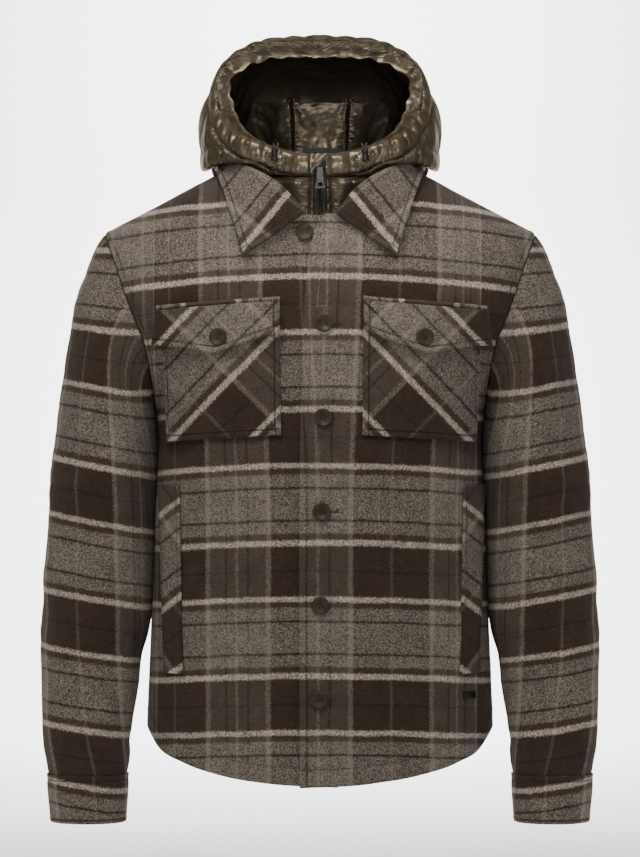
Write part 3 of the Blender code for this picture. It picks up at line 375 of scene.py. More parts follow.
def form_normals(points, side):
    """Outward directions of the form at points on it."""
    x, y, z = np.moveaxis(points, -1, 0)

    def level(height):
        centre = smooth_value(BODY, height, 2 if side == "front" else 3)
        across = (np.abs(x) / full_width(height, side)) ** ROUNDNESS
        return across + (np.abs(y) / centre) ** ROUNDNESS

    step = 0.0005
    centre = smooth_value(BODY, z, 2 if side == "front" else 3)
    wide = full_width(z, side)
    power = ROUNDNESS - 1
    out = np.stack([
        np.sign(x) * ROUNDNESS / wide * (np.abs(x) / wide) ** power,
        np.sign(y) * ROUNDNESS / centre * (np.abs(y) / centre) ** power,
        (level(z + step) - level(z - step)) / (2 * step),
    ], axis=-1)
    return unit(out)


def unit(vectors):
    """Vectors of length one."""
    return vectors / np.maximum(np.linalg.norm(vectors, axis=-1, keepdims=True), 1e-9)


ARMHOLE_OUT = unit(np.array([
    SHOULDER_TIP[1] - ARMPIT[1], 0.0, ARMPIT[0] - SHOULDER_TIP[0],
]))


def armhole_line(side):
    """Points of one half of the armhole seam from armpit to shoulder tip, and their outward directions."""
    turn = np.linspace(0, math.pi, ARMHOLE_STEPS + 1)
    z = ARMPIT[1] + (SHOULDER_TIP[1] - ARMPIT[1]) * (1 - np.cos(turn)) / 2
    x = half_width(z)
    facing = -1 if side == "front" else 1
    y = facing * ARMHOLE_DEPTH[side] * np.maximum(np.sin(turn), 0) ** 0.9
    points = np.stack([x, y, z], axis=-1)
    centre = np.array([ARMPIT[0], 0.0, (ARMPIT[1] + SHOULDER_TIP[1]) / 2])
    along = np.gradient(points, axis=0)
    along[0] = along[-1] = (0, 1, 0)
    out = unit(np.cross(along, ARMHOLE_OUT))
    flip = np.sum(out * (points - centre), axis=-1) < 0
    out[flip] *= -1
    out[0] = unit(np.array([-0.15, 0, -1]))
    return points, out


def neck_places(side, centre_x):
    """Neckline places from the centre to the high shoulder point."""
    turn = math.pi / 2 * (1 - (1 - np.linspace(0, 1, NECK_STEPS + 1)) ** 1.4)
    low = NECK_FRONT if side == "front" else NECK_BACK
    z = low + (HIGH_SHOULDER[1] - low) * (1 - np.cos(turn))
    x = HIGH_SHOULDER[0] * np.sin(turn)
    x[0] = centre_x
    return x, z


def panel_places(side, centre_edge):
    """Grid of places for half a panel, from hem to shoulder, with x from the centre edge outwards."""
    across = np.linspace(0, 1, HALF_COLUMNS + 1)
    bend = np.sin(across * math.pi / 2) ** 0.87
    hem = smooth_value(HEM, bend, 1)
    rows = []
    for share in np.linspace(0, 1, BODY_ROWS + 1)[:-1]:
        z = hem + (ARMPIT[1] - hem) * share
        start = centre_edge(z)
        rows.append(np.stack([start + (half_width(z) - start) * bend, z], axis=-1))
    neck_z = NECK_FRONT if side == "front" else NECK_BACK
    left_z = np.linspace(ARMPIT[1], neck_z, ARMHOLE_STEPS - NECK_STEPS + 1)
    neck_x, neck_heights = neck_places(side, float(centre_edge(neck_z)))
    left = np.column_stack([
        np.concatenate([centre_edge(left_z), neck_x[1:]]),
        np.concatenate([left_z, neck_heights[1:]]),
    ])
    right = armhole_line(side)[0][:, [0, 2]]
    bottom_start = float(centre_edge(ARMPIT[1]))
    bottom = np.column_stack([
        bottom_start + (ARMPIT[0] - bottom_start) * bend,
        np.full_like(bend, ARMPIT[1]),
    ])
    top = np.outer(1 - across, HIGH_SHOULDER) + np.outer(across, SHOULDER_TIP)
    for number in range(ARMHOLE_STEPS + 1):
        up = number / ARMHOLE_STEPS
        sides = np.outer(1 - bend, left[number]) + np.outer(bend, right[number])
        ends = (1 - up) * bottom + up * top
        corner_low = np.outer(1 - bend, bottom[0]) + np.outer(bend, bottom[-1])
        corner_high = np.outer(1 - bend, top[0]) + np.outer(bend, top[-1])
        rows.append(sides + ends - (1 - up) * corner_low - up * corner_high)
    return np.array(rows)


def half_panel(side, centre_edge, lift=None):
    """Outer and inner points of half a panel on the +x side, parted from its neighbours at the seams."""
    places = panel_places(side, centre_edge)
    outer = form_points(places[..., 0], places[..., 1], side)
    facing = -1 if side == "front" else 1
    outer[:BODY_ROWS + 1, -1, 1] = 0
    outer[-1, :, 1] = 0
    normals = form_normals(outer, side)
    loop, loop_out = armhole_line(side)
    outer[BODY_ROWS:, -1] = loop
    normals[BODY_ROWS:, -1] = loop_out
    if lift is not None:
        outer = outer + normals * lift(outer[..., 0])[..., None]
    inner = outer - WALL * normals
    for grid in (outer, inner):
        grid[BODY_ROWS:, -1] -= ARMHOLE_OUT * SEAM_GAP / 2
        grid[:BODY_ROWS + 1, -1, 1] += facing * SEAM_GAP / 2
        grid[-1, :, 1] += facing * SEAM_GAP / 2
    return outer, inner


# Materials


class Nodes:
    """Short ways to add shader nodes to one material or group."""

    def __init__(self, tree):
        self.tree = tree

    def add(self, kind, **settings):
        """A new node."""
        node = self.tree.nodes.new(kind)
        for name, value in settings.items():
            setattr(node, name, value)
        return node

    def plug(self, value, socket):
        """Links an output to a socket, or sets the socket to a plain value."""
        if isinstance(value, bpy.types.NodeSocket):
            self.tree.links.new(value, socket)
        elif value is not None:
            socket.default_value = value

    def math(self, operation, first, second=None, third=None):
        """One sum."""
        node = self.add("ShaderNodeMath", operation=operation)
        for value, socket in zip((first, second, third), node.inputs):
            self.plug(value, socket)
        return node.outputs[0]

    def mix(self, share, first, second, blend="MIX"):
        """Two colours together."""
        node = self.add("ShaderNodeMix", data_type="RGBA", blend_type=blend)
        self.plug(share, node.inputs[0])
        self.plug(first, node.inputs[6])
        self.plug(second, node.inputs[7])
        return node.outputs[2]

    def noise(self, place, scale, detail=3.0, roughness=0.6):
        """Cloudy noise, about a half on average."""
        node = self.add("ShaderNodeTexNoise")
        self.plug(place, node.inputs["Vector"])
        self.plug(scale, node.inputs["Scale"])
        self.plug(detail, node.inputs["Detail"])
        self.plug(roughness, node.inputs["Roughness"])
        return node.outputs[0]

    def spread(self, value, low, high, to_low=0.0, to_high=1.0, smooth=False):
        """One range of values onto another."""
        node = self.add("ShaderNodeMapRange", interpolation_type="SMOOTHSTEP" if smooth else "LINEAR")
        for item, socket in zip((value, low, high, to_low, to_high), node.inputs):
            self.plug(item, socket)
        return node.outputs[0]

    def bump(self, height, distance, strength=1.0, normal=None):
        """Fine relief from a height."""
        node = self.add("ShaderNodeBump")
        self.plug(strength, node.inputs["Strength"])
        self.plug(distance, node.inputs["Distance"])
        self.plug(height, node.inputs["Height"])
        self.plug(normal, node.inputs["Normal"])
        return node.outputs[0]

    def toned(self, colour, tone):
        """A colour made lighter or darker by a factor."""
        tint = self.add("ShaderNodeCombineColor")
        for socket in tint.inputs:
            self.plug(tone, socket)
        return self.mix(1.0, colour, tint.outputs[0], "MULTIPLY")

    def stretched(self, place, scale):
        """A place scaled along each axis."""
        node = self.add("ShaderNodeVectorMath", operation="MULTIPLY")
        self.plug(place, node.inputs[0])
        self.plug(scale, node.inputs[1])
        return node.outputs[0]


def new_material(name):
    """A new material with its node tools and its shader."""
    made = bpy.data.materials.new(name)
    made.use_nodes = True
    shader = made.node_tree.nodes["Principled BSDF"]
    return made, Nodes(made.node_tree), shader


def set_values(shader, **values):
    """Sets constant values of a shader, each by its name."""
    for name, value in values.items():
        shader.inputs[name.replace("_", " ")].default_value = value


def linear(red, green, blue):
    """A colour as it looks on a screen, 0 to 255, as the shader's own values."""
    parts = np.array([red, green, blue]) / 255
    values = np.where(parts <= 0.04045, parts / 12.92, ((parts + 0.055) / 1.055) ** 2.4)
    return (*values.tolist(), 1.0)


# Yarn colours with how flecked each is
YARNS = {
    "brown": (54, 43, 34, 0.45),
    "dull": (64, 53, 44, 0.60),
    "grey": (108, 99, 89, 0.95),
    "pale": (122, 112, 99, 0.9),
    "white": (164, 152, 137, 0.65),
    "dark": (34, 30, 28, 0.35),
}
# The order of the yarns: where each begins, in millimetres from the start of the brown block
WARP = (
    (0.0, "white"), (2.7, "brown"), (44.5, "pale"), (47.5, "brown"), (91.3, "white"), (97.0, "grey"),
    (115.8, "dark"), (117.8, "grey"), (127.8, "white"), (130.6, "grey"), (141.0, "dark"), (143.0, "grey"),
    (162.3, "white"),
)
WARP_REPEAT = 165.0
WEFT = (
    (0.0, "white"), (3.2, "brown"), (30.2, "dark"), (32.4, "brown"), (59.4, "white"), (65.2, "dull"),
    (72.0, "grey"), (85.9, "dark"), (88.3, "grey"), (121.7, "dark"), (124.1, "grey"), (137.0, "dull"),
    (144.1, "white"),
)
WEFT_REPEAT = 147.3
WEFT_SHOWS = 0.75
YARN_BLUR = 1.9
TWILL_PITCH = 0.0030


def yarn_ramp(nodes, place, bands, repeat):
    """The colour of the yarn at a place in metres across the yarns, and how flecked it is."""
    share = nodes.math("FRACT", nodes.math("DIVIDE", place, repeat / 1000))
    ramp = nodes.add("ShaderNodeValToRGB")
    nodes.plug(share, ramp.inputs[0])
    stops = ramp.color_ramp.elements
    marks = [(0.0, bands[0][1])]
    for (start, yarn), (_, before) in zip(bands[1:], bands):
        marks += [(start - YARN_BLUR / 2, before), (start + YARN_BLUR / 2, yarn)]
    marks.append((repeat, bands[-1][1]))
    for number, (at, yarn) in enumerate(marks):
        if number in (0, len(marks) - 1):
            stop = stops[0 if number == 0 else -1]
        else:
            stop = stops.new(at / repeat)
        *look, flecked = YARNS[yarn]
        stop.position = at / repeat
        stop.color = (*linear(*look)[:3], flecked)
    return ramp.outputs


def make_wool():
    """Felted wool twill in a plaid, from the weave coordinates of each piece; the weft shows most."""
    made, nodes, shader = new_material("plaid wool")
    laid = nodes.add("ShaderNodeUVMap", uv_map="weave").outputs[0]
    place = nodes.add("ShaderNodeTexCoord").outputs["Object"]
    stray = nodes.math("MULTIPLY", nodes.math("SUBTRACT", nodes.noise(place, 480, 2, 0.7), 0.5), 0.0058)
    sway = nodes.math("MULTIPLY", nodes.math("SUBTRACT", nodes.noise(place, 28, 2), 0.5), 0.0030)
    stray = nodes.math("ADD", stray, sway)
    split = nodes.add("ShaderNodeSeparateXYZ")
    nodes.plug(laid, split.inputs[0])
    across, down = split.outputs[0], split.outputs[1]
    warp, warp_flecked = yarn_ramp(nodes, nodes.math("ADD", across, stray), WARP, WARP_REPEAT)
    weft, weft_flecked = yarn_ramp(nodes, nodes.math("ADD", down, stray), WEFT, WEFT_REPEAT)
    diagonal = nodes.math("MULTIPLY", nodes.math("ADD", across, down), math.tau / TWILL_PITCH)
    twill = nodes.math("SINE", nodes.math("ADD", diagonal, nodes.math("MULTIPLY", stray, 700.0)))
    fibre = nodes.spread(nodes.noise(place, 560, 3, 0.75), 0.34, 0.66, -0.36, 0.36)
    shows = nodes.math("ADD", nodes.math("MULTIPLY", twill, 0.10), fibre)
    share = nodes.spread(nodes.math("ADD", shows, WEFT_SHOWS), 0, 1, 0, 1)
    colour = nodes.mix(share, warp, weft)
    more = nodes.math("SUBTRACT", weft_flecked, warp_flecked)
    flecked = nodes.math("MULTIPLY_ADD", more, WEFT_SHOWS, warp_flecked)
    fleck = nodes.spread(nodes.noise(place, 560, 3, 0.72), 0.35, 0.66, -0.72, 0.92)
    shade = nodes.math("MULTIPLY_ADD", fleck, flecked, 1.0)
    streaks = nodes.noise(nodes.stretched(laid, (110, 800, 1)), 1.0, 2)
    shade = nodes.math("MULTIPLY", shade, nodes.spread(streaks, 0.3, 0.7, 0.84, 1.18))
    shade = nodes.math("MULTIPLY", shade, nodes.spread(nodes.noise(place, 45, 3), 0.3, 0.7, 0.86, 1.14))
    stitch = nodes.add("ShaderNodeAttribute", attribute_name="stitch").outputs["Fac"]
    # Painted shade: along the stitch grooves the wool is darkened to 0.45, standing in for the shade that
    # falls in them; the same mask also sinks the grooves in the bump.
    groove_and_shade = nodes.spread(nodes.math("ABSOLUTE", stitch), 0.0, 1.5, 1.0, 0.0, smooth=True)
    shade = nodes.math("MULTIPLY", shade, nodes.spread(groove_and_shade, 0, 1, 1.0, 0.45))
    nodes.plug(nodes.toned(colour, shade), shader.inputs["Base Color"])
    nap = nodes.bump(nodes.noise(place, 620, 4, 0.8), 0.0012, 0.8)
    lumps = nodes.bump(nodes.noise(place, 150, 2), 0.0020, 0.45, nap)
    sunk = nodes.bump(nodes.math("MULTIPLY", groove_and_shade, -1.0), 0.0012, 1.0, lumps)
    nodes.plug(sunk, shader.inputs["Normal"])
    set_values(shader, Roughness=0.93, Specular_IOR_Level=0.12)
    set_values(shader, Sheen_Weight=0.10, Sheen_Roughness=0.55, Sheen_Tint=linear(196, 186, 174))
    return made


def make_nylon(name, colour, roughness, pucker):
    """Thin glossy nylon: soft creases all over, and sharp small pleats that run out from the seams."""
    made, nodes, shader = new_material(name)
    place = nodes.add("ShaderNodeTexCoord").outputs["Object"]
    laid = nodes.add("ShaderNodeUVMap", uv_map="weave").outputs[0]
    away = nodes.math("ABSOLUTE", nodes.add("ShaderNodeAttribute", attribute_name="stitch").outputs["Fac"])
    near = nodes.spread(away, 0.0, 17.0, 1.0, 0.0, smooth=True)
    groove_and_shade = nodes.spread(away, 0.0, 1.6, 1.0, 0.0, smooth=True)
    pleats = nodes.noise(nodes.stretched(laid, (175, 34, 1)), 1.0, 3, 0.55)
    sharp = nodes.math("ABSOLUTE", nodes.math("SUBTRACT", pleats, 0.5))
    tone = nodes.spread(nodes.noise(place, 38, 3), 0.3, 0.7, 0.86, 1.12)
    # Painted shade: along the stitch grooves the nylon is darkened to half, standing in for the shade that
    # falls in them.
    tone = nodes.math("MULTIPLY", tone, nodes.spread(groove_and_shade, 0, 1, 1.0, 0.5))
    nodes.plug(nodes.toned(linear(*colour), tone), shader.inputs["Base Color"])
    creases = nodes.bump(nodes.noise(place, 36, 2, 0.5), 0.008, pucker)
    pleated = nodes.bump(nodes.math("MULTIPLY", sharp, near), 0.010, 0.8, creases)
    sunk = nodes.bump(nodes.math("MULTIPLY", groove_and_shade, -1.0), 0.0014, 1.0, pleated)
    nodes.plug(sunk, shader.inputs["Normal"])
    set_values(shader, Roughness=roughness, Metallic=0.75)
    set_values(shader, Specular_IOR_Level=0.10, Specular_Tint=(0.35, 0.31, 0.25, 1))
    return made


def make_plain(name, colour, roughness, metallic=0.0, scale=300, depth=0.0003, spread=0.12, shine=0.5):
    """A finish of one colour with small changes of tone and a fine relief."""
    made, nodes, shader = new_material(name)
    place = nodes.add("ShaderNodeTexCoord").outputs["Object"]
    grain = nodes.noise(place, scale, 3)
    tone = nodes.spread(grain, 0.3, 0.7, 1 - spread, 1 + spread)
    nodes.plug(nodes.toned(linear(*colour), tone), shader.inputs["Base Color"])
    nodes.plug(nodes.bump(grain, depth, 0.4), shader.inputs["Normal"])
    set_values(shader, Roughness=roughness, Metallic=metallic, Specular_IOR_Level=shine)
    return made


wool = make_wool()
nylon = make_nylon("glossy nylon", (98, 88, 73), 0.33, 0.8)
# Painted shade: a darker copy of the glossy nylon, used for the band deep inside the hood, where shade
# falls.
lining = make_nylon("nylon darkened as painted shade", (66, 59, 49), 0.31, 0.7)
horn = make_plain("dark horn", (58, 48, 37), 0.42, scale=120, depth=0.0002, spread=0.35, shine=0.22)
# Painted shade: a near-black finish for the discs that stand in for the shade inside the buttons' thread
# openings.
painted_hole_shade = make_plain("painted hole shade", (20, 17, 15), 0.8)
metal = make_plain("dark metal", (52, 49, 46), 0.38, metallic=0.9, scale=500)
bright_metal = make_plain("ring metal", (112, 104, 92), 0.26, metallic=0.9, scale=500)
thread = make_plain("dark thread", (52, 44, 38), 0.8, scale=1500)
pale_thread = make_plain("pale thread", (128, 116, 98), 0.55, scale=1500)
zip_metal = make_plain("zip teeth", (46, 42, 38), 0.42, metallic=0.6, scale=500)
tape_cloth = make_plain("zip tape", (40, 37, 34), 0.85, scale=900, depth=0.0006)
cord_cloth = make_plain("round cord", (74, 65, 52), 0.75, scale=1200, depth=0.0006)


# Building pieces


def wrapped(grid):
    """A grid whose last column meets its first, as a sleeve's does."""
    return np.concatenate([grid, grid[:, :1]], axis=1)


def mirrored(grid):
    """The same grid on the other side of the jacket."""
    return grid * np.array([-1.0, 1.0, 1.0])


def grid_normals(grid, closed=False):
    """Directions square to a grid of points, with rows and columns taken as they run."""
    if closed:
        along = (np.roll(grid, -1, axis=1) - np.roll(grid, 1, axis=1)) / 2
    else:
        along = np.gradient(grid, axis=1)
    down = np.gradient(grid, axis=0)
    return unit(np.cross(down, along))


def edge_distances(grid):
    """How far each point is from the first and last column and row, in metres over the cloth."""
    across = np.linalg.norm(np.diff(grid, axis=1), axis=-1)
    down = np.linalg.norm(np.diff(grid, axis=0), axis=-1)
    left = np.concatenate([np.zeros((len(grid), 1)), np.cumsum(across, axis=1)], axis=1)
    low = np.concatenate([np.zeros((1, grid.shape[1])), np.cumsum(down, axis=0)], axis=0)
    return {"left": left, "right": left[:, -1:] - left, "low": low, "high": low[-1:] - low}


def bell(value, width):
    """A soft hump, one at zero and gone at about twice its width."""
    return np.exp(-((value / width) ** 2))


def fold(x, z, start, end, width, height):
    """A ridge, or with a negative height a valley, that runs from start to end and tapers off."""
    start, end = np.array(start), np.array(end)
    line = end - start
    length = float(np.hypot(*line))
    along = ((x - start[0]) * line[0] + (z - start[1]) * line[1]) / length**2
    away = ((x - start[0]) * line[1] - (z - start[1]) * line[0]) / length
    taper = ease(along, -0.25, 0.25) * (1 - ease(along, 0.7, 1.25))
    return height * taper * bell(away, width)


def ripple(x, z, size, height, seed):
    """Soft uneven waves of about one size, the same on every run."""
    chance = np.random.default_rng(seed)
    total = np.zeros_like(x)
    for _ in range(7):
        angle, turn = chance.uniform(0, math.tau, 2)
        wave = math.tau / (size * chance.uniform(0.7, 1.6))
        total = total + np.sin(wave * (math.cos(angle) * x + math.sin(angle) * z) + turn)
    return total / 7 * height * 1.6


def settle(name, mesh, finish_material, node=None, body="garment", smooth_angle=50):
    """Turns a bmesh into a piece of the jacket that rides on its body."""
    bmesh.ops.recalc_face_normals(mesh, faces=mesh.faces[:])
    data = bpy.data.meshes.new(name)
    mesh.to_mesh(data)
    mesh.free()
    data.shade_smooth()
    data.set_sharp_from_angle(angle=math.radians(smooth_angle))
    data.materials.append(finish_material)
    made = bpy.data.objects.new(name, data)
    bpy.context.scene.collection.objects.link(made)
    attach(made, body)
    if node is not None:
        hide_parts(node)
    return made


# Each cloth piece as it is cut, flat
CUTS = {
    # width (all round on a sleeve or cuff), length, area if not a rectangle, how it is held
    "back": (0.60, 0.71, 0.345, "hung"),
    "front_left": (0.31, 0.70, 0.183, "hung"),
    "front_right": (0.31, 0.70, 0.182, "hung"),
    "sleeve_left": (0.42, 0.62, 0.204, "hung"),
    "sleeve_right": (0.42, 0.62, 0.204, "hung"),
    "cuff_left": (0.285, 0.053, None, "hung"),
    "cuff_right": (0.285, 0.053, None, "hung"),
    "collar": (0.50, 0.095, 0.036, "folded"),
    "collar_stand": (0.44, 0.036, 0.0098, "stretched"),
    "chest_pocket_left": (0.134, 0.150, None, "laid"),
    "chest_pocket_right": (0.134, 0.150, None, "laid"),
    "pocket_flap_left": (0.143, 0.060, 0.0074, "laid"),
    "pocket_flap_right": (0.143, 0.060, 0.0074, "laid"),
    "flap_ridge_left": (0.140, 0.0105, None, "laid"),
    "flap_ridge_right": (0.140, 0.0105, None, "laid"),
    "side_welt_left": (0.041, 0.212, None, "laid"),
    "side_welt_right": (0.041, 0.212, None, "laid"),
    "zip_tape_left": (0.010, 0.1335, 0.0008, "laid"),
    "zip_tape_right": (0.010, 0.1335, 0.0008, "laid"),
    "zip_guard": (0.022, 0.0205, 0.00026, "stretched"),
    "hanger_loop": (0.045, 0.010, 0.0003, "laid"),
}


def cloth(name, layers, finish_material, node=None, weave=None, stitched=None, edge=0.0012):
    """A wall from pairs of outer and inner grids, with its weave coordinates and stitch distances."""
    mesh = bmesh.new()
    place = mesh.verts.layers.int.new("place")
    # The stitch distance drives the stitch grooves' bump and their painted shade in the wool and nylon
    # finishes.
    stitch = mesh.verts.layers.float.new("stitch")
    laid = mesh.loops.layers.uv.new("weave")
    inner_points = []
    for number, (outer, inner) in enumerate(layers):
        rows, columns = outer.shape[:2]
        grid = bmesh.ops.create_grid(mesh, x_segments=columns - 1, y_segments=rows - 1, size=1)
        first = len(inner_points)
        far = np.full((rows, columns), 99.0) if stitched is None else stitched[number] * 1000
        for vert, point, inside, away in zip(
            grid["verts"], outer.reshape(-1, 3), inner.reshape(-1, 3), far.reshape(-1)
        ):
            vert.co = point
            vert[place] = len(inner_points)
            vert[stitch] = away
            inner_points.append(inside)
        if weave is not None:
            places = weave[number].reshape(-1, 2)
            for face in {face for vert in grid["verts"] for face in vert.link_faces}:
                for loop in face.loops:
                    loop[laid].uv = places[loop.vert[place] - first]
    bmesh.ops.remove_doubles(mesh, verts=mesh.verts[:], dist=1e-6)
    made = bmesh.ops.extrude_face_region(mesh, geom=mesh.faces[:], use_keep_orig=True)
    for vert in made["geom"]:
        if isinstance(vert, bmesh.types.BMVert):
            vert.co = inner_points[vert[place]]
            vert[stitch] = 99.0
    piece = settle(name, mesh, finish_material, node)
    if node in CUTS:
        width, length, area, held = CUTS[node]
    if edge:
        rounded = piece.modifiers.new("rolled edge", "BEVEL")
        rounded.width = edge
        rounded.segments = 3
        rounded.limit_method = "ANGLE"
        rounded.angle_limit = math.radians(50)
        rounded.use_clamp_overlap = True
    return piece


def round_lines(name, paths, radius, finish_material, resolution=1):
    """A piece of one or more round threads or cords through lists of points."""
    curve = bpy.data.curves.new(name, "CURVE")
    curve.dimensions = "3D"
    curve.bevel_depth = radius
    curve.bevel_resolution = resolution
    curve.use_fill_caps = True
    for path in paths:
        spline = curve.splines.new("POLY")
        spline.points.add(len(path) - 1)
        for point, spot in zip(spline.points, path):
            point.co = (*spot, 1)
    curve.materials.append(finish_material)
    made = bpy.data.objects.new(name, curve)
    bpy.context.scene.collection.objects.link(made)
    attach(made, "garment")
    return made


def threads(name, lines, thread, pitch=0.0036, share=0.76, radius=0.00028):
    """Topstitching: one short thread after another along lines of (points, outward directions)."""
    paths = []
    for points, outward in lines:
        steps = np.linalg.norm(np.diff(points, axis=0), axis=1)
        run = np.concatenate([[0], np.cumsum(steps)])
        count = max(1, int(run[-1] / pitch))
        for number in range(count):
            at = (number + np.array([0.0, 0.2, 0.8, 1.0]) * share + (1 - share) / 2) * run[-1] / count
            spots = np.column_stack([np.interp(at, run, points[:, k]) for k in range(3)])
            away = np.column_stack([np.interp(at, run, outward[:, k]) for k in range(3)])
            spots += unit(away) * (radius * np.array([-1.2, 0.7, 0.7, -1.2]))[:, None]
            paths.append(spots)
    round_lines(name, paths, radius, thread)


def line_at(outer, distance, value, way):
    """The points of a grid that lie at one distance from an edge, and the outward directions there.

    The distance grows across the rows, or down the columns.
    """
    normals = grid_normals(outer)
    middle = outer.reshape(-1, 3).mean(axis=0) * np.array([1, 0, 1])
    if np.sum(normals * (outer - middle)) < 0:
        normals = -normals
    if way == "down":
        outer, normals, distance = (np.swapaxes(grid, 0, 1) for grid in (outer, normals, distance))
    points, outward = [], []
    for away, spots, directions in zip(distance, outer, normals):
        order = np.argsort(away)
        points.append([np.interp(value, away[order], spots[order, k]) for k in range(3)])
        outward.append([np.interp(value, away[order], directions[order, k]) for k in range(3)])
    return np.array(points), unit(np.array(outward))


# Wool shell

# Soft folds of the fronts and back, in places seen from the front with x to the wearer's side
FRONT_FOLDS = (
    # start, end, width, height
    ((0.176, -0.262), (0.118, -0.196), 0.010, 0.0022),
    ((0.178, -0.236), (0.136, -0.170), 0.009, -0.0018),
    ((0.180, -0.290), (0.120, -0.330), 0.014, -0.0018),
    ((0.176, -0.330), (0.100, -0.352), 0.016, 0.0016),
    ((0.182, -0.380), (0.150, -0.560), 0.013, 0.0020),
    ((0.130, -0.420), (0.110, -0.640), 0.018, -0.0016),
    ((0.070, -0.350), (0.060, -0.600), 0.020, 0.0015),
    ((0.205, -0.090), (0.150, -0.120), 0.013, -0.0016),
    ((0.190, -0.140), (0.120, -0.128), 0.014, 0.0012),
)
BACK_FOLDS = (
    ((0.176, -0.262), (0.090, -0.170), 0.012, 0.0030),
    ((0.178, -0.300), (0.080, -0.360), 0.018, -0.0030),
    ((0.150, -0.380), (0.120, -0.640), 0.020, 0.0028),
    ((0.060, -0.330), (0.080, -0.640), 0.024, -0.0026),
    ((0.000, -0.120), (0.020, -0.420), 0.030, 0.0020),
    ((0.200, -0.090), (0.100, -0.110), 0.016, -0.0022),
)
DROOP = 0.0105
GRAIN_LEANS = 0.011
PLACKET_STITCH = 0.0085
HEM_STITCH = 0.0200
SEAM_STITCH = 0.0085


def reach_table():
    """How far over the cloth each place lies from the middle of the body."""
    x = np.linspace(0, 0.27, 400)
    y = form_depth(np.minimum(x, 0.1935), np.full_like(x, -0.40), "front")
    return x, np.concatenate([[0], np.cumsum(np.hypot(np.diff(x), np.diff(y)))])


REACH = reach_table()
BODY_DOWN_START = 0.2618
BODY_ACROSS_START = {"left": 0.0337, "right": -0.0572, "back": 0.0400}


def body_weave(points, start):
    """Weave coordinates of a body panel from its places in the frame."""
    x, z = points[..., 0], points[..., 2]
    lean = GRAIN_LEANS * ease(z, -0.40, -0.05)
    across = np.sign(x) * (np.interp(np.abs(x), *REACH) - lean) - start
    down = -z - DROOP * (np.abs(x) / 0.19) ** 2 - BODY_DOWN_START
    return np.stack([across, down], axis=-1)


def back_centre(z):
    """The back is cut in one piece, so its half starts on the centre line."""
    return np.zeros_like(np.asarray(z, float))


def under_edge(z):
    """Edge of the front that lies under the other one."""
    return np.full_like(np.asarray(z, float), -OVERLAP_UNDER)


def placket_edge(z):
    """Edge of the front that lies on top."""
    return smooth_value(PLACKET_EDGE, np.asarray(z, float), 1)


def top_lift(x):
    """How much further out the top front lies than the one under it."""
    return OVERLAP_LIFT * (1 - ease(x, *LIFT_ENDS))


def shaped_panel(side, centre_edge, folds, seed, lift=None):
    """A half panel with its folds, and how far each point is from the stitching and from the edges."""
    outer, inner = half_panel(side, centre_edge, lift)
    away = edge_distances(outer)
    x, z = outer[..., 0], outer[..., 2]
    relief = sum(fold(x, z, *row) for row in folds)
    relief = relief + ripple(x, z, 0.09, 0.0012, seed) + ripple(x, z, 0.03, 0.00035, seed + 1)
    calm = ease(away["right"], 0.004, 0.035) * ease(away["high"], 0.004, 0.03)
    relief = relief * calm * ease(away["left"], 0.0, 0.03)
    relief = relief - 0.0011 * bell(away["right"], 0.0030) - 0.0011 * bell(away["high"], 0.0030)
    normals = form_normals(outer, side)
    moved = normals * relief[..., None]
    armhole = np.where(np.arange(len(outer))[:, None] >= BODY_ROWS, away["right"], 9.0)
    stitched = np.minimum(np.abs(away["low"] - HEM_STITCH), np.abs(armhole - SEAM_STITCH))
    return outer + moved, inner + moved, stitched, away


def hem_puckers(outer, inner, away):
    """Short dents along the hem's stitching."""
    x = outer[..., 0]
    wave = np.sin(x * 410) * 0.5 + np.sin(x * 235 + 1.0) * 0.5
    rise = 0.0009 * wave * bell(away["low"] - 0.010, 0.009)
    rise = rise + 0.0011 * bell(away["low"] - 0.010, 0.0085)
    rise = rise - 0.0008 * bell(away["low"] - HEM_STITCH, 0.003)
    facing = np.where(outer[..., 1] < 0, -1.0, 1.0)
    moved = np.stack([np.zeros_like(x), facing * rise, np.zeros_like(x)], axis=-1)
    return outer + moved, inner + moved


def make_body():
    """The two fronts and the back, with their topstitching."""
    fronts = (("left", placket_edge, top_lift, 3), ("right", under_edge, None, 8))
    for side, centre_edge, lift, seed in fronts:
        outer, inner, stitched, away = shaped_panel("front", centre_edge, FRONT_FOLDS, seed, lift)
        outer, inner = hem_puckers(outer, inner, away)
        if side == "right":
            outer, inner = mirrored(outer), mirrored(inner)
        if side == "left":
            stitched = np.minimum(stitched, np.abs(away["left"] - PLACKET_STITCH))
        weave = body_weave(outer, BODY_ACROSS_START[side])
        node = f"front_{side}"
        cloth(f"{node}_cloth", [(outer, inner)], wool, node, [weave], [stitched])
        lines = [line_at(outer, away["low"], HEM_STITCH, "down")]
        if side == "left":
            lines.append(line_at(outer, away["left"], PLACKET_STITCH, "across"))
        lines.append(line_at(outer[BODY_ROWS:], away["right"][BODY_ROWS:], SEAM_STITCH, "across"))
        threads(f"front_{side}_stitches", lines, thread)
    outer, inner, stitched, away = shaped_panel("back", back_centre, BACK_FOLDS, 15)
    outer[:, 0, 0] = 0
    inner[:, 0, 0] = 0
    outer, inner = hem_puckers(outer, inner, away)
    halves = [(outer, inner), (mirrored(outer), mirrored(inner))]
    weave = [body_weave(half[0], BODY_ACROSS_START["back"]) for half in halves]
    cloth("back_cloth", halves, wool, "back", weave, [stitched, stitched])
    lines = []
    for half, _ in halves:
        lines.append(line_at(half, away["low"], HEM_STITCH, "down"))
        lines.append(line_at(half[BODY_ROWS:], away["right"][BODY_ROWS:], SEAM_STITCH, "across"))
    threads("back_stitches", lines, thread)


# Sleeves and cuffs

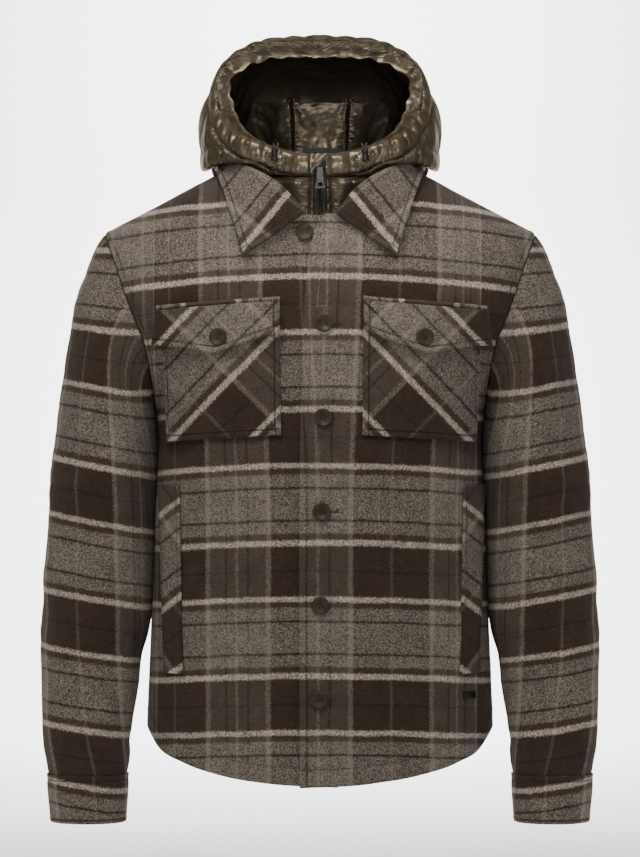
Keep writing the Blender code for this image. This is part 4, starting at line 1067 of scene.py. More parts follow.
SLEEVE_FOLDS = (
    # start and end as (share round from the outer edge, + to the front; height), width, height
    ((0.060, -0.120), (0.130, -0.170), 0.012, -0.0030),
    ((0.150, -0.270), (0.050, -0.320), 0.014, -0.0028),
    ((0.160, -0.330), (0.030, -0.360), 0.013, 0.0030),
    ((0.170, -0.390), (0.050, -0.420), 0.015, -0.0032),
    ((0.160, -0.440), (0.020, -0.450), 0.014, 0.0026),
    ((0.020, -0.300), (0.060, -0.560), 0.020, 0.0022),
    ((0.130, -0.520), (0.040, -0.560), 0.013, -0.0024),
    ((0.020, -0.600), (0.110, -0.640), 0.012, 0.0022),
    ((-0.050, -0.160), (-0.150, -0.260), 0.016, 0.0030),
    ((-0.160, -0.340), (-0.030, -0.380), 0.015, -0.0036),
    ((-0.150, -0.420), (-0.030, -0.430), 0.015, 0.0034),
    ((-0.140, -0.500), (-0.030, -0.540), 0.014, -0.0030),
)
SLEEVE_ROWS = 150
SLEEVE_TOUCHES = 0.0007
CUFF_STITCHES = {"low": 0.006, "high": 0.004}
SLEEVE_ACROSS_START = 0.126
SLEEVE_DOWN_START = 0.1648
CUFF_ROWS = 26


def ring(row, bend=0.0):
    """One ring of a sleeve, round from the inner side by the front to the outer side and the back."""
    outer_x, outer_z, inner_x, inner_z, centre_y, half_depth = row
    turn = np.linspace(0, 2 * math.pi, 2 * ARMHOLE_STEPS + 1)[:-1]
    along = (1 - np.cos(turn)) / 2
    depth = np.sign(np.sin(turn)) * np.abs(np.sin(turn)) ** 0.9
    return bend + np.column_stack([
        inner_x + (outer_x - inner_x) * along,
        centre_y - half_depth * depth,
        inner_z + (outer_z - inner_z) * along,
    ])


def armhole_ring():
    """The armhole seam as a ring, in the order of the sleeve's rings, and its outward directions."""
    front, front_out = armhole_line("front")
    back, back_out = armhole_line("back")
    points = np.concatenate([front, back[-2:0:-1]])
    return points, np.concatenate([front_out, back_out[-2:0:-1]])


def sleeve_rings():
    """Outer points of the sleeve, from the armhole to the wrist."""
    seam, _ = armhole_ring()
    flat = ring((*SHOULDER_TIP, *ARMPIT, 0.0, ARMHOLE_DEPTH["front"]))
    bend = (seam - flat) * np.array([1, 0, 0])
    fading = np.interp(np.arange(len(SLEEVE)), (-1, 1), (1, 0))
    rings = [ring(row, bend * share) for row, share in zip(SLEEVE, fading)]
    coarse = np.array([seam + ARMHOLE_OUT * SEAM_GAP / 2, *rings])
    fine = smooth_path(coarse.reshape(len(coarse), -1), SLEEVE_ROWS)
    return fine.reshape(SLEEVE_ROWS, -1, 3)


def lean_in(base):
    """The sleeve with its inner side laid against the body from armpit to hip, and how far it is laid."""
    x, z = base[:, 0, 0], base[:, 0, 2]
    edge = smooth_value(BODY, z, 1) - SLEEVE_TOUCHES
    near = ease(-z, 0.258, 0.268) * (1 - ease(-z, 0.49, 0.54))
    turn = np.linspace(0, 2 * math.pi, base.shape[1] + 1)[:-1]
    touching = near[:, None] * ((1 + np.cos(turn)) / 2) ** 2
    moved = base.copy()
    moved[..., 0] += np.minimum(edge - x, 0)[:, None] * touching
    return moved, touching


def around(outer):
    """How far round the cloth each point of the rings lies from the sleeve's outer edge, + to the front."""
    closed = wrapped(outer)
    steps = np.linalg.norm(np.diff(closed, axis=1), axis=-1)
    run = np.concatenate([np.zeros((len(outer), 1)), np.cumsum(steps, axis=1)], axis=1)
    return run[:, ARMHOLE_STEPS:ARMHOLE_STEPS + 1] - run


def sleeve_weave(closed, reach):
    """Weave coordinates of a sleeve or cuff."""
    x, z = np.abs(closed[..., 0]), closed[..., 2]
    outermost = np.max(x, axis=1, keepdims=True)
    slope = np.interp(-z, (0.08, 0.60), (0.25, 0.15))
    down = (-z) * 0.99 - slope * (outermost - x) - SLEEVE_DOWN_START
    return np.stack([SLEEVE_ACROSS_START - reach, down], axis=-1)


def cuff_base():
    """The cuff's rings, finer."""
    coarse = np.array([ring(row) for row in CUFF])
    return smooth_path(coarse.reshape(len(CUFF), -1), CUFF_ROWS).reshape(CUFF_ROWS, -1, 3)


def cuff_grids():
    """Outer and inner points of the left cuff, and how far round each lies."""
    base = cuff_base()
    normals = grid_normals(base, closed=True)
    normals[..., 2] = 0
    normals = unit(normals)
    low = edge_distances(base)["low"]
    rise = 0.0006 * bell(low - 0.020, 0.014) - 0.0006 * bell(low - CUFF_STITCHES["low"], 0.0025)
    outer = base + normals * rise[..., None]
    return outer, outer - WALL * normals, around(base)


def make_sleeves():
    """Sleeves with their folds and seam, and the cuffs with two rows of stitching."""
    base, touching = lean_in(sleeve_rings())
    normals = grid_normals(base, closed=True)
    normals[0] = armhole_ring()[1]
    normals[-1, :, 2] = 0
    normals = unit(normals)
    reach = around(base)
    near = reach[:, :-1]
    z = base[..., 2]
    away = edge_distances(base)
    relief = sum(fold(near, z, *row) for row in SLEEVE_FOLDS)
    relief = relief + ripple(near, z, 0.07, 0.0016, 21) + ripple(near, z, 0.026, 0.0004, 22)
    relief = relief * ease(away["low"], 0.004, 0.04) * ease(away["high"], 0.002, 0.02) * (1 - touching)
    relief = relief - 0.0012 * bell(away["low"], 0.003) - 0.0008 * bell(away["high"], 0.003)
    outer = base + normals * relief[..., None]
    inner = outer - WALL * normals
    cuff, cuff_inner, cuff_reach = cuff_grids()
    for side, flip in (("left", np.array), ("right", mirrored)):
        closed = wrapped(flip(outer))
        cloth(
            f"sleeve_{side}_cloth", [(closed, wrapped(flip(inner)))], wool, f"sleeve_{side}",
            [sleeve_weave(closed, reach)], None,
        )
        band = wrapped(flip(cuff))
        away = edge_distances(wrapped(cuff_base()))
        stitched = np.min([np.abs(away[edge] - at) for edge, at in CUFF_STITCHES.items()], axis=0)
        cloth(
            f"cuff_{side}_cloth", [(band, wrapped(flip(cuff_inner)))], wool, f"cuff_{side}",
            [sleeve_weave(band, cuff_reach)], [stitched],
        )
        lines = [line_at(band, away[edge], at, "down") for edge, at in CUFF_STITCHES.items()]
        threads(f"cuff_{side}_stitches", lines, thread)


# Pockets, flaps, ridges and welts

PATCH_STEP = 0.0022
FLAP_LIFTS = 0.0030
BIAS_DOWN_START = 0.0918
BIAS_ACROSS_START = -0.1588


def bias_weave(points, turn=45.0, down_start=BIAS_DOWN_START, across_start=BIAS_ACROSS_START):
    """Weave coordinates of a piece cut at an angle, the same on both sides but mirrored."""
    x, z = -np.abs(points[..., 0]), points[..., 2]
    angle = math.radians(turn)
    down = x * math.sin(angle) - z * math.cos(angle) - down_start
    across = x * math.cos(angle) + z * math.sin(angle) - across_start
    return np.stack([across, down], axis=-1)


def patch_grid(side, corners, point=None, rows=None):
    """Fine grid of a patch's places, from its top line to its bottom line; a point makes the bottom a V."""
    top, bottom = (np.array(corners[line]) for line in ("top", "bottom"))
    columns = max(8, int(np.hypot(*(top[1] - top[0])) / PATCH_STEP))
    columns += columns % 2
    across = np.linspace(0, 1, columns + 1)
    upper = np.outer(1 - across, top[0]) + np.outer(across, top[1])
    lower = np.outer(1 - across, bottom[0]) + np.outer(across, bottom[1])
    if point is not None:
        lower[:, 1] = np.interp(across, (0, 0.5, 1), (bottom[0][1], point[1], bottom[1][1]))
    deep = float(np.max(upper[:, 1] - lower[:, 1]))
    rows = rows or max(4, int(deep / PATCH_STEP))
    places = np.array([(1 - t) * upper + t * lower for t in np.linspace(0, 1, rows + 1)])
    x = places[..., 0] + POCKET_SHIFT[side]
    points = form_points(x, places[..., 1], "front")
    lift = OUTER_RISE * across[None, :] + (top_lift(x) if side == "left" else np.zeros_like(x))
    return points, form_normals(points, "front"), lift


def patch(name, side, corners, base, thickness, relief, stitch_edges, weave, point=None, rows=None):
    """A laid-on piece with its own relief, its stitch distances and its topstitching."""
    ways = {"low": "down", "high": "down", "left": "across", "right": "across"}
    points, normals, lift = patch_grid(side, corners, point, rows)
    away = edge_distances(points)
    rise = relief(points, away)
    outer = points + normals * (base + thickness + lift + rise)[..., None]
    inner = points + normals * (base + lift)[..., None]
    stitched = np.full(points.shape[:2], 0.099)
    for edge, distance in stitch_edges:
        stitched = np.minimum(stitched, np.abs(away[edge] - distance))
    if side == "right":
        outer, inner = mirrored(outer), mirrored(inner)
    node = f"{name}_{side}"
    cloth(f"{node}_cloth", [(outer, inner)], wool, node, [weave(outer)], [stitched], edge=0.0013)
    lines = []
    for edge, distance in stitch_edges:
        way = ways[edge]
        path, outward = line_at(outer, away[edge], distance, way)
        keep = np.ones(len(path), bool)
        for other, other_distance in stitch_edges:
            if ways[other] != way:
                along = away[other][0] if way == "down" else away[other][:, 0]
                keep &= along >= other_distance
        lines.append((path[keep], outward[keep]))
    if lines:
        threads(f"{node}_stitches", lines, thread)


def make_patches():
    """Chest pockets, pointed flaps with a ridge above them, and the welts of the hand pockets."""
    over_pocket = WALL + 2 * LAY_GAP
    ridge = {
        "top": tuple((x, z + SEAM_GAP + RIDGE_HEIGHT) for x, z in FLAP["top"]),
        "bottom": tuple((x, z + SEAM_GAP) for x, z in FLAP["top"]),
    }

    def pocket_relief(points, away):
        x, z = points[..., 0], points[..., 2]
        side_edge = np.minimum(away["left"], away["right"])
        full = 0.0016 * ease(np.minimum(side_edge, away["high"]), 0.008, 0.045)
        rim = 0.0006 * bell(np.minimum(side_edge, away["high"]) - 0.004, 0.0035)
        slack = fold(x, z, (0.060, -0.225), (0.120, -0.270), 0.012, 0.0010)
        slack = slack + ripple(x, z, 0.045, 0.0005, 31)
        return full + rim + slack * ease(side_edge, 0.004, 0.02)

    def flap_relief(points, away):
        x, z = points[..., 0], points[..., 2]
        edge = np.minimum(np.minimum(away["left"], away["right"]), away["high"])
        roll = 0.0016 * bell(edge - 0.003, 0.0034) + 0.0009 * ease(edge, 0.008, 0.02)
        return roll + FLAP_LIFTS * (1 - ease(away["high"], 0.0, 0.030)) + ripple(x, z, 0.03, 0.0003, 33)

    def ridge_relief(points, away):
        return -0.0022 + 0.0024 * np.sqrt(np.clip(1 - ((away["low"] - 0.0025) / 0.0027) ** 2, 0, 1))

    def welt_relief(points, away):
        x, z = points[..., 0], points[..., 2]
        side_edge = np.minimum(away["left"], away["right"])
        return 0.0006 * bell(side_edge - 0.003, 0.003) + ripple(x, z, 0.04, 0.0003, 35)

    def strip_weave(points):
        x, z = np.abs(points[..., 0]), points[..., 2]
        return np.stack([(z + 0.15) * 0.5 - 0.02, x - 0.09], axis=-1)

    def welt_weave(points):
        return bias_weave(points, 38.0, -0.02, -0.14)

    pocket_stitches = tuple((edge, 0.0065) for edge in ("left", "right", "high"))
    flap_stitches = tuple((edge, 0.0068) for edge in ("left", "right", "high"))
    welt_stitches = (("left", 0.004), ("right", 0.004))
    for side in ("left", "right"):
        patch("chest_pocket", side, POCKET, LAY_GAP, WALL, pocket_relief, pocket_stitches, bias_weave)
        patch(
            "pocket_flap", side, FLAP, over_pocket, FLAP_THICKNESS, flap_relief, flap_stitches, bias_weave,
            FLAP_POINT,
        )
        patch("flap_ridge", side, ridge, LAY_GAP, RIDGE_THICKNESS, ridge_relief, (), strip_weave, None, 8)
        patch("side_welt", side, SIDE_WELT, LAY_GAP / 2, WALL, welt_relief, welt_stitches, welt_weave)


# Collar


def off_body(points, clear):
    """Moves points that are nearer to the form than clear out along its normals."""
    moved = points.copy()
    for _ in range(4):
        for side, chosen in (("front", moved[..., 1] < 0), ("back", moved[..., 1] >= 0)):
            some = moved[chosen]
            normals = form_normals(some, side)
            centre = smooth_value(BODY, some[:, 2], 2 if side == "front" else 3)
            wide = full_width(some[:, 2], side)
            level = (np.abs(some[:, 0]) / wide) ** ROUNDNESS + (np.abs(some[:, 1]) / centre) ** ROUNDNESS
            scale = np.maximum(level, 1e-6) ** (1 / ROUNDNESS)
            flat = some * np.array([1, 1, 0])
            away = (1 - 1 / scale) * np.sum(flat * normals, axis=-1)
            moved[chosen] = some + normals * np.maximum(clear - away, 0)[:, None]
    return moved


def both_halves(half):
    """A half grid and its mirror image as one, joined at the middle of the back (its last row)."""
    return np.concatenate([half, mirrored(half[-2::-1])], axis=0)


COLLAR_ROWS = 130
COLLAR_COLUMNS = 34
COLLAR_STITCH = 0.0068


def make_collar():
    """The fold-over collar with its rolled, stitched edge."""
    stations = smooth_path(COLLAR, COLLAR_ROWS)
    shares = np.linspace(0, 1, COLLAR_COLUMNS)
    roll, edge = stations[:, None, :3], stations[:, None, 3:]
    half = roll + (edge - roll) * shares[None, :, None]
    half = off_body(half, COLLAR_OFF_BODY)
    half[-1, :, 0] = 0
    base = both_halves(half)
    normals = grid_normals(base)
    if np.mean(normals[..., 2]) < 0:
        normals = -normals
    away = edge_distances(base)
    ends = np.minimum(away["low"], away["high"])
    rim = np.minimum(away["right"], ends)
    rise = 0.0022 * bell(rim - 0.003, 0.0036) + 0.0012 * ease(rim, 0.009, 0.03)
    rise = rise + 0.0016 * bell(away["left"] - 0.004, 0.006)
    rise = rise + ripple(base[..., 0], base[..., 2], 0.05, 0.0004, 41)
    outer = base + normals * rise[..., None]
    inner = base - COLLAR_WALL * normals
    stitched = np.minimum(np.abs(away["right"] - COLLAR_STITCH), np.abs(ends - COLLAR_STITCH))
    weave = bias_weave(outer, 50.0, -0.012, -0.09)
    cloth("collar_cloth", [(outer, inner)], wool, "collar", [weave], [stitched], edge=0.0015)
    lines = []
    across = away["right"][0]
    seams = (("right", "across", ends[:, 0]), ("low", "down", across), ("high", "down", across))
    for edge, way, along in seams:
        path, outward = line_at(outer, away[edge], COLLAR_STITCH, way)
        keep = along >= COLLAR_STITCH
        lines.append((path[keep], outward[keep]))
    threads("collar_stitches", lines, thread)


def make_stand():
    """The collar's stand, from the neckline up to the roll."""
    necklines = []
    for side in ("front", "back"):
        x, z = neck_places(side, 0.0)
        necklines.append(form_points(x, z, side))
    low = np.concatenate([necklines[0][NECK_STEPS // 2:], necklines[1][-2::-1]])
    low = low + np.array([0, 0, 2 * SEAM_GAP])
    rolled = np.column_stack([np.arange(len(COLLAR)), COLLAR[:, :3]])
    count = len(STAND_MEETS_ROLL)
    meets = np.interp(np.linspace(0, count - 1, len(low)), np.arange(count), STAND_MEETS_ROLL)
    high = np.column_stack([smooth_value(rolled, meets, 1 + k) for k in range(3)])
    high -= STAND_INSET * unit(high * np.array([1, 1, 0])) + np.array([0, 0, STAND_DROP])
    half = low[:, None] + (high - low)[:, None] * np.linspace(0, 1, 9)[None, :, None]
    half[-1, :, 0] = 0
    outer = both_halves(half)
    inner = outer - WALL * unit(outer * np.array([1, 1, 0]))
    weave = bias_weave(outer, 0.0)
    cloth("collar_stand_cloth", [(outer, inner)], wool, "collar_stand", [weave], None)


# Buttons, buttonholes and the hem plate


WELL_DEPTH = 0.0021
HOLE_OFF_CENTRE = 0.00185
BUTTON_TURNS = (8, -20, 31, 12, -35)


def basis(normal, up=(0.0, 0.0, 1.0)):
    """A rotation whose third axis is the normal and whose second is as near up as it can be."""
    third = Vector(normal).normalized()
    second = (Vector(up) - Vector(up).project(third)).normalized()
    first = second.cross(third)
    return Matrix((first, second, third)).transposed().to_4x4()


def front_place(x, z, side, height):
    """A point over a front, and the form's direction there."""
    reach = x if side == "left" else -x
    point = form_points(np.array(abs(x)), np.array(z), "front")
    point[0] = x
    normal = form_normals(np.array([abs(x), point[1], z]), "front")
    normal[0] *= -1 if x < 0 else 1
    lift = float(top_lift(np.array(reach))) if side == "left" else 0.0
    return point + normal * (height + lift), normal


def turned(mesh, profile, steps=48):
    """Turns an outline of (radius, height) about the upright axis into a closed round piece."""
    seed = bmesh.ops.create_circle(mesh, segments=len(profile), radius=1)
    for vert, (radius, height) in zip(seed["verts"], profile):
        vert.co = (radius, 0, height)
    bmesh.ops.spin(
        mesh, geom=mesh.verts[:] + mesh.edges[:], axis=(0, 0, 1), cent=(0, 0, 0),
        angle=math.tau, steps=steps, use_merge=True,
    )
    bmesh.ops.remove_doubles(mesh, verts=mesh.verts[:], dist=1e-6)


def button_mesh():
    """A round button with a thick rim, a dished middle and a sunk well round the spots of its four thread
    openings, which are not cut but painted as dark discs of shade.
    """
    radius, high = BUTTON_RADIUS, BUTTON_THICKNESS / 2
    outline = [(0.0002, -high), (radius - 0.0022, -high)]
    for turn in np.linspace(-80, 120, 14):
        angle = math.radians(turn)
        outline.append((radius - 0.0014 + 0.0014 * math.cos(angle), (high - 0.0003) * math.sin(angle)))
    for inwards, down in ((0.0030, 0.0012), (0.0048, 0.0014), (0.0056, WELL_DEPTH)):
        outline.append((radius - inwards, high - down))
    outline.append((0.0002, high - WELL_DEPTH - 0.0001))
    mesh = bmesh.new()
    turned(mesh, outline)
    return mesh


def make_button(name, x, z, side, height, turn):
    """A four-hole button with crossed threads on its shank; its thread openings are dark discs of painted
    shade, not cut through.
    """
    point, normal = front_place(x, z, side, height + BUTTON_THICKNESS / 2)
    place = Matrix.Translation(point) @ basis(normal) @ Matrix.Rotation(math.radians(turn), 4, "Z")
    mesh = button_mesh()
    bmesh.ops.transform(mesh, matrix=place, verts=mesh.verts[:])
    settle(f"{name}_body", mesh, horn, name, smooth_angle=60)
    # Painted shade: a dark disc at each thread opening stands in for a hole through the button.
    hole_shade = bmesh.new()
    top = BUTTON_THICKNESS / 2 - WELL_DEPTH
    for dx, dy in ((1, 1), (1, -1), (-1, 1), (-1, -1)):
        spot = Matrix.Translation((dx * HOLE_OFF_CENTRE, dy * HOLE_OFF_CENTRE, top))
        bmesh.ops.create_cone(
            hole_shade, cap_ends=True, segments=14, radius1=0.0010, radius2=0.0010, depth=0.0004,
            matrix=place @ spot,
        )
    settle(f"{name}_hole_shade", hole_shade, painted_hole_shade)
    crossed = []
    for sign in (1, -1):
        path = []
        for share in (-1, -0.75, 0, 0.75, 1):
            rise = top + 0.0006 * (1 - share**4) - 0.0002
            path.append(place @ Vector((share * HOLE_OFF_CENTRE, sign * share * HOLE_OFF_CENTRE, rise)))
        crossed.append(path)
    round_lines(f"{name}_thread", crossed, 0.00028, thread, resolution=2)


def buttonhole(name, x, z, side, length):
    """A worked buttonhole: two rows of close thread with rounded ends."""
    count = 46
    paths = []
    for number in range(count):
        angle = math.tau * number / count
        across = math.cos(angle) * length / 2
        half = 0.0011 * min(1.0, abs(math.sin(angle)) * 2.2 + 0.35)
        rise = half if math.sin(angle) >= 0 else -half
        stitch = ((0.25, 0.0003), (0.7, 0.0003), (1.0, 0.0))
        paths.append([front_place(x + across, z + rise * share, side, off)[0] for share, off in stitch])
    round_lines(name, paths, 0.0003, thread)


def make_buttons():
    """Five front buttons with their buttonholes, the open collar's button and one on each flap."""
    for number, turn in enumerate(BUTTON_TURNS):
        x = FIRST_BUTTON[0] + BUTTON_LEAN * number
        z = FIRST_BUTTON[1] - BUTTON_PITCH * number
        make_button(f"button_{number + 1}", x, z, "left", SEAM_GAP, turn)
        buttonhole(f"buttonhole_{number + 1}", x + 0.0125, z, "left", 0.012)
    make_button("collar_button", *COLLAR_BUTTON, "right", SEAM_GAP, 20)
    buttonhole("collar_buttonhole", 0.0135, -0.0625, "left", 0.011)
    on_flap = WALL + 2 * LAY_GAP + FLAP_THICKNESS + OUTER_RISE + SEAM_GAP
    for side, sign in (("left", 1), ("right", -1)):
        x = sign * (POCKET_BUTTON[0] + POCKET_SHIFT[side])
        make_button(f"pocket_button_{side}", x, POCKET_BUTTON[1], side, on_flap, 14)


def make_plate():
    """The blank metal plate near the hem, with a small rivet at each end."""
    mesh = bmesh.new()
    bmesh.ops.create_cube(mesh, size=1)
    bmesh.ops.scale(mesh, vec=PLATE_SIZE, verts=mesh.verts[:])
    bmesh.ops.bevel(
        mesh, geom=[e for e in mesh.edges if abs(e.verts[0].co.z - e.verts[1].co.z) > 1e-6],
        offset=PLATE_CORNER, affect="EDGES", segments=4, profile=0.5, material=-1,
    )
    tops = [e for e in mesh.edges if e.verts[0].co.z > 0 and e.verts[1].co.z > 0]
    bmesh.ops.bevel(mesh, geom=tops, offset=0.0004, affect="EDGES", segments=2, profile=0.5, material=-1)
    for sign in (1, -1):
        bmesh.ops.create_uvsphere(
            mesh, u_segments=14, v_segments=8, radius=0.0008,
            matrix=Matrix.Translation((sign * 0.0078, 0, PLATE_SIZE[2] / 2 + 0.0001)),
        )
    point, normal = front_place(*PLATE_PLACE, "left", PLATE_SIZE[2] / 2 + SEAM_GAP)
    bmesh.ops.transform(mesh, matrix=Matrix.Translation(point) @ basis(normal), verts=mesh.verts[:])
    settle("hem_plate_metal", mesh, metal, "hem_plate")


# Hood, band and bib

HOOD_COLUMNS = 216
HOOD_HELD_IN = 0.0036
HOOD_HANGS = 0.0055
HOOD_ROWS = 72
HOOD_VALLEY = 0.0030
HOOD_PUFF = 0.0042
CHANNEL_FULL_AT = 0.030
CASING_SLANT = 0.35
EYELET_CALM = (0.006, 0.016)
LINING_FOLD = 0.010
CASING_DEPTH = 0.0175
# Quilt seams: share round from the zip (0) to the middle of the back (1), share down from rim to neck
MAIN_SEAM = np.array([
    # around, down
    (0.000, 1.02),
    (0.125, 1.00),
    (0.250, 0.82),
    (0.375, 0.50),
    (0.500, 0.29),
    (0.625, 0.23),
    (0.800, 0.26),
    (1.000, 0.28),
])
LOWER_SEAM = np.array([
    # around, down
    (0.420, 0.43),
    (0.500, 0.42),
    (0.700, 0.52),
    (1.000, 0.56),
])
CROSS_SEAMS = (
    # around, from, to
    (0.44, 0.40, 0.90),
    (0.74, 0.26, 0.52),
    (0.90, 0.56, 0.95),
)
CASING_GATHERS = (
    0.17, 0.27, 0.335, 0.40, 0.455, 0.515, 0.57, 0.62, 0.675, 0.72, 0.775, 0.83, 0.875, 0.93, 0.975,
)
RING_RADIUS = 0.0033
RING_ROLL = 0.0009
LOCK_SHIFT = 0.0013
LOCK_OUTLINE = (
    # radius, height
    (0.0025, -0.0068), (0.0032, -0.0068), (0.0034, -0.0062), (0.0034, -0.0046), (0.0030, -0.0040),
    (0.0030, 0.0028), (0.0034, 0.0034), (0.0034, 0.0052), (0.0032, 0.0058), (0.0028, 0.0060),
    (0.0028, 0.0078), (0.0025, 0.0080),
)


def gathers(run, size, seed):
    """Uneven small pleats along a seam, from 0 to 1."""
    chance = np.random.default_rng(seed)
    total = np.zeros_like(run)
    for _ in range(4):
        wave = math.tau / (size * chance.uniform(0.7, 1.5))
        total = total + np.abs(np.sin(run * wave / 2 + chance.uniform(0, math.tau))) ** 1.6
    return total / 4


def seam_relief(distance, run, depth, reach, pleat, seed, lean=0.35):
    """A stitched valley with pleats that run out from it on both sides."""
    valley = -depth * bell(distance, 0.0022)
    pleats = (gathers(run + lean * distance, 0.012, seed) - 0.5) * pleat
    return valley + pleats * np.exp(-np.abs(distance) / reach) * (1 - 0.6 * bell(distance, 0.0015))


def hood_base():
    """Smooth fine grid of the hood's outer face, half of it, from the zip to the middle of the back."""
    sections = np.array(HOOD_SECTIONS)
    shares = np.linspace(0, 1, HOOD_ROWS)
    numbers = np.arange(sections.shape[1]) / (sections.shape[1] - 1)
    fine = []
    for section in sections:
        table = np.column_stack([numbers, section])
        fine.append(np.column_stack([smooth_value(table, shares, 1 + k) for k in range(3)]))
    half = smooth_path(np.array(fine).reshape(len(sections), -1), HOOD_COLUMNS)
    half = half.reshape(HOOD_COLUMNS, HOOD_ROWS, 3)
    half[-1, :, 0] = 0
    return half, shares


def make_ring(number, middle, outward):
    """A rolled metal eyelet."""
    mesh = bmesh.new()
    steps = np.arange(12) / 12 * math.tau
    turned(mesh, [(RING_RADIUS + RING_ROLL * math.cos(step), RING_ROLL * math.sin(step)) for step in steps])
    place = Matrix.Translation(Vector(middle)) @ basis(outward)
    bmesh.ops.transform(mesh, matrix=place, verts=mesh.verts[:])
    settle(f"eyelet_{number}_ring", mesh, bright_metal, f"eyelet_{number}")


def make_locks():
    """The barrels of the two cord locks, open through the middle for the cords."""
    for side in ("left", "right"):
        low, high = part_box(f"cord_lock_{side}")
        middle = (low + high) / 2
        middle.x += LOCK_SHIFT if side == "left" else -LOCK_SHIFT
        mesh = bmesh.new()
        turned(mesh, LOCK_OUTLINE, steps=40)
        bmesh.ops.translate(mesh, vec=middle, verts=mesh.verts[:])
        settle(f"cord_lock_{side}_barrel", mesh, metal, f"cord_lock_{side}", smooth_angle=35)


def hood_channels(share_down, deep, bounds):
    """How full each quilted channel stands, from nothing at its seams to all along its middle."""
    full = np.zeros_like(share_down)
    for low, high in zip(bounds, bounds[1:]):
        local = (share_down - low) / np.maximum(high - low, 0.02)
        inside = (local >= 0) & (local <= 1)
        height = np.minimum(1.0, (high - low) * deep / CHANNEL_FULL_AT)
        puffed = np.sin(np.clip(local, 0, 1) * math.pi) ** 0.6 * height
        full = np.maximum(full, np.where(inside, puffed, 0))
    return full


def cross_seams(part, share_down, run, down):
    """The valley of each short seam across a channel, and the distance from it."""
    for at, top, bottom in CROSS_SEAMS:
        within = ease(share_down, top - 0.03, top + 0.03)
        within = within * (1 - ease(share_down, bottom - 0.03, bottom + 0.04))
        across = (part - at) * run[-1:, :]
        valley = within * seam_relief(across, down, 0.0028, 0.008, 0.0016, 60, 0.2)
        yield valley, np.abs(across) + 0.05 * (1 - within)


def casing_gathers(part, run, down):
    """Each slanted gather where the rim's casing is sewn on: a swell beside a crease."""
    for at in CASING_GATHERS:
        wide = run[-1:, :] * (part - at) + CASING_SLANT * (down - CASING_DEPTH)
        over = bell(down - CASING_DEPTH, 0.010)
        yield (0.0011 * bell(wide - 0.007, 0.004) - 0.0024 * bell(wide, 0.0026)) * over


def set_eyelets(half, normals):
    """Makes the eyelets' rings, and gives the nylon's calm: 0 beside a ring and 1 away from them all."""
    calm = np.ones(half.shape[:2])
    for number in range(1, 5):
        low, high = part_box(f"eyelet_{number}")
        middle = (np.array(low) + np.array(high)) / 2
        side = np.array([1 if middle[0] > 0 else -1, 1, 1])
        reach = np.linalg.norm(half - middle * side, axis=-1)
        calm = np.minimum(calm, ease(reach, *EYELET_CALM))
        nearby = np.unravel_index(np.argmin(reach), reach.shape)
        make_ring(number, middle, normals[nearby] * side)
    return calm


def lining_folds(part, share_down, run, down):
    """How far the lining's folds stand in from the hood's wall."""
    folds = gathers(run + 0.3 * down, 0.030, 81) + gathers(run - 0.5 * down, 0.055, 82)
    folds = folds * LINING_FOLD
    within = ease(down, 0.006, 0.030) * (1 - ease(share_down, 0.45, 0.62)) * ease(part, 0.40, 0.55)
    within = within * (1 - 0.8 * ease(part, 0.80, 0.92))
    return folds * within


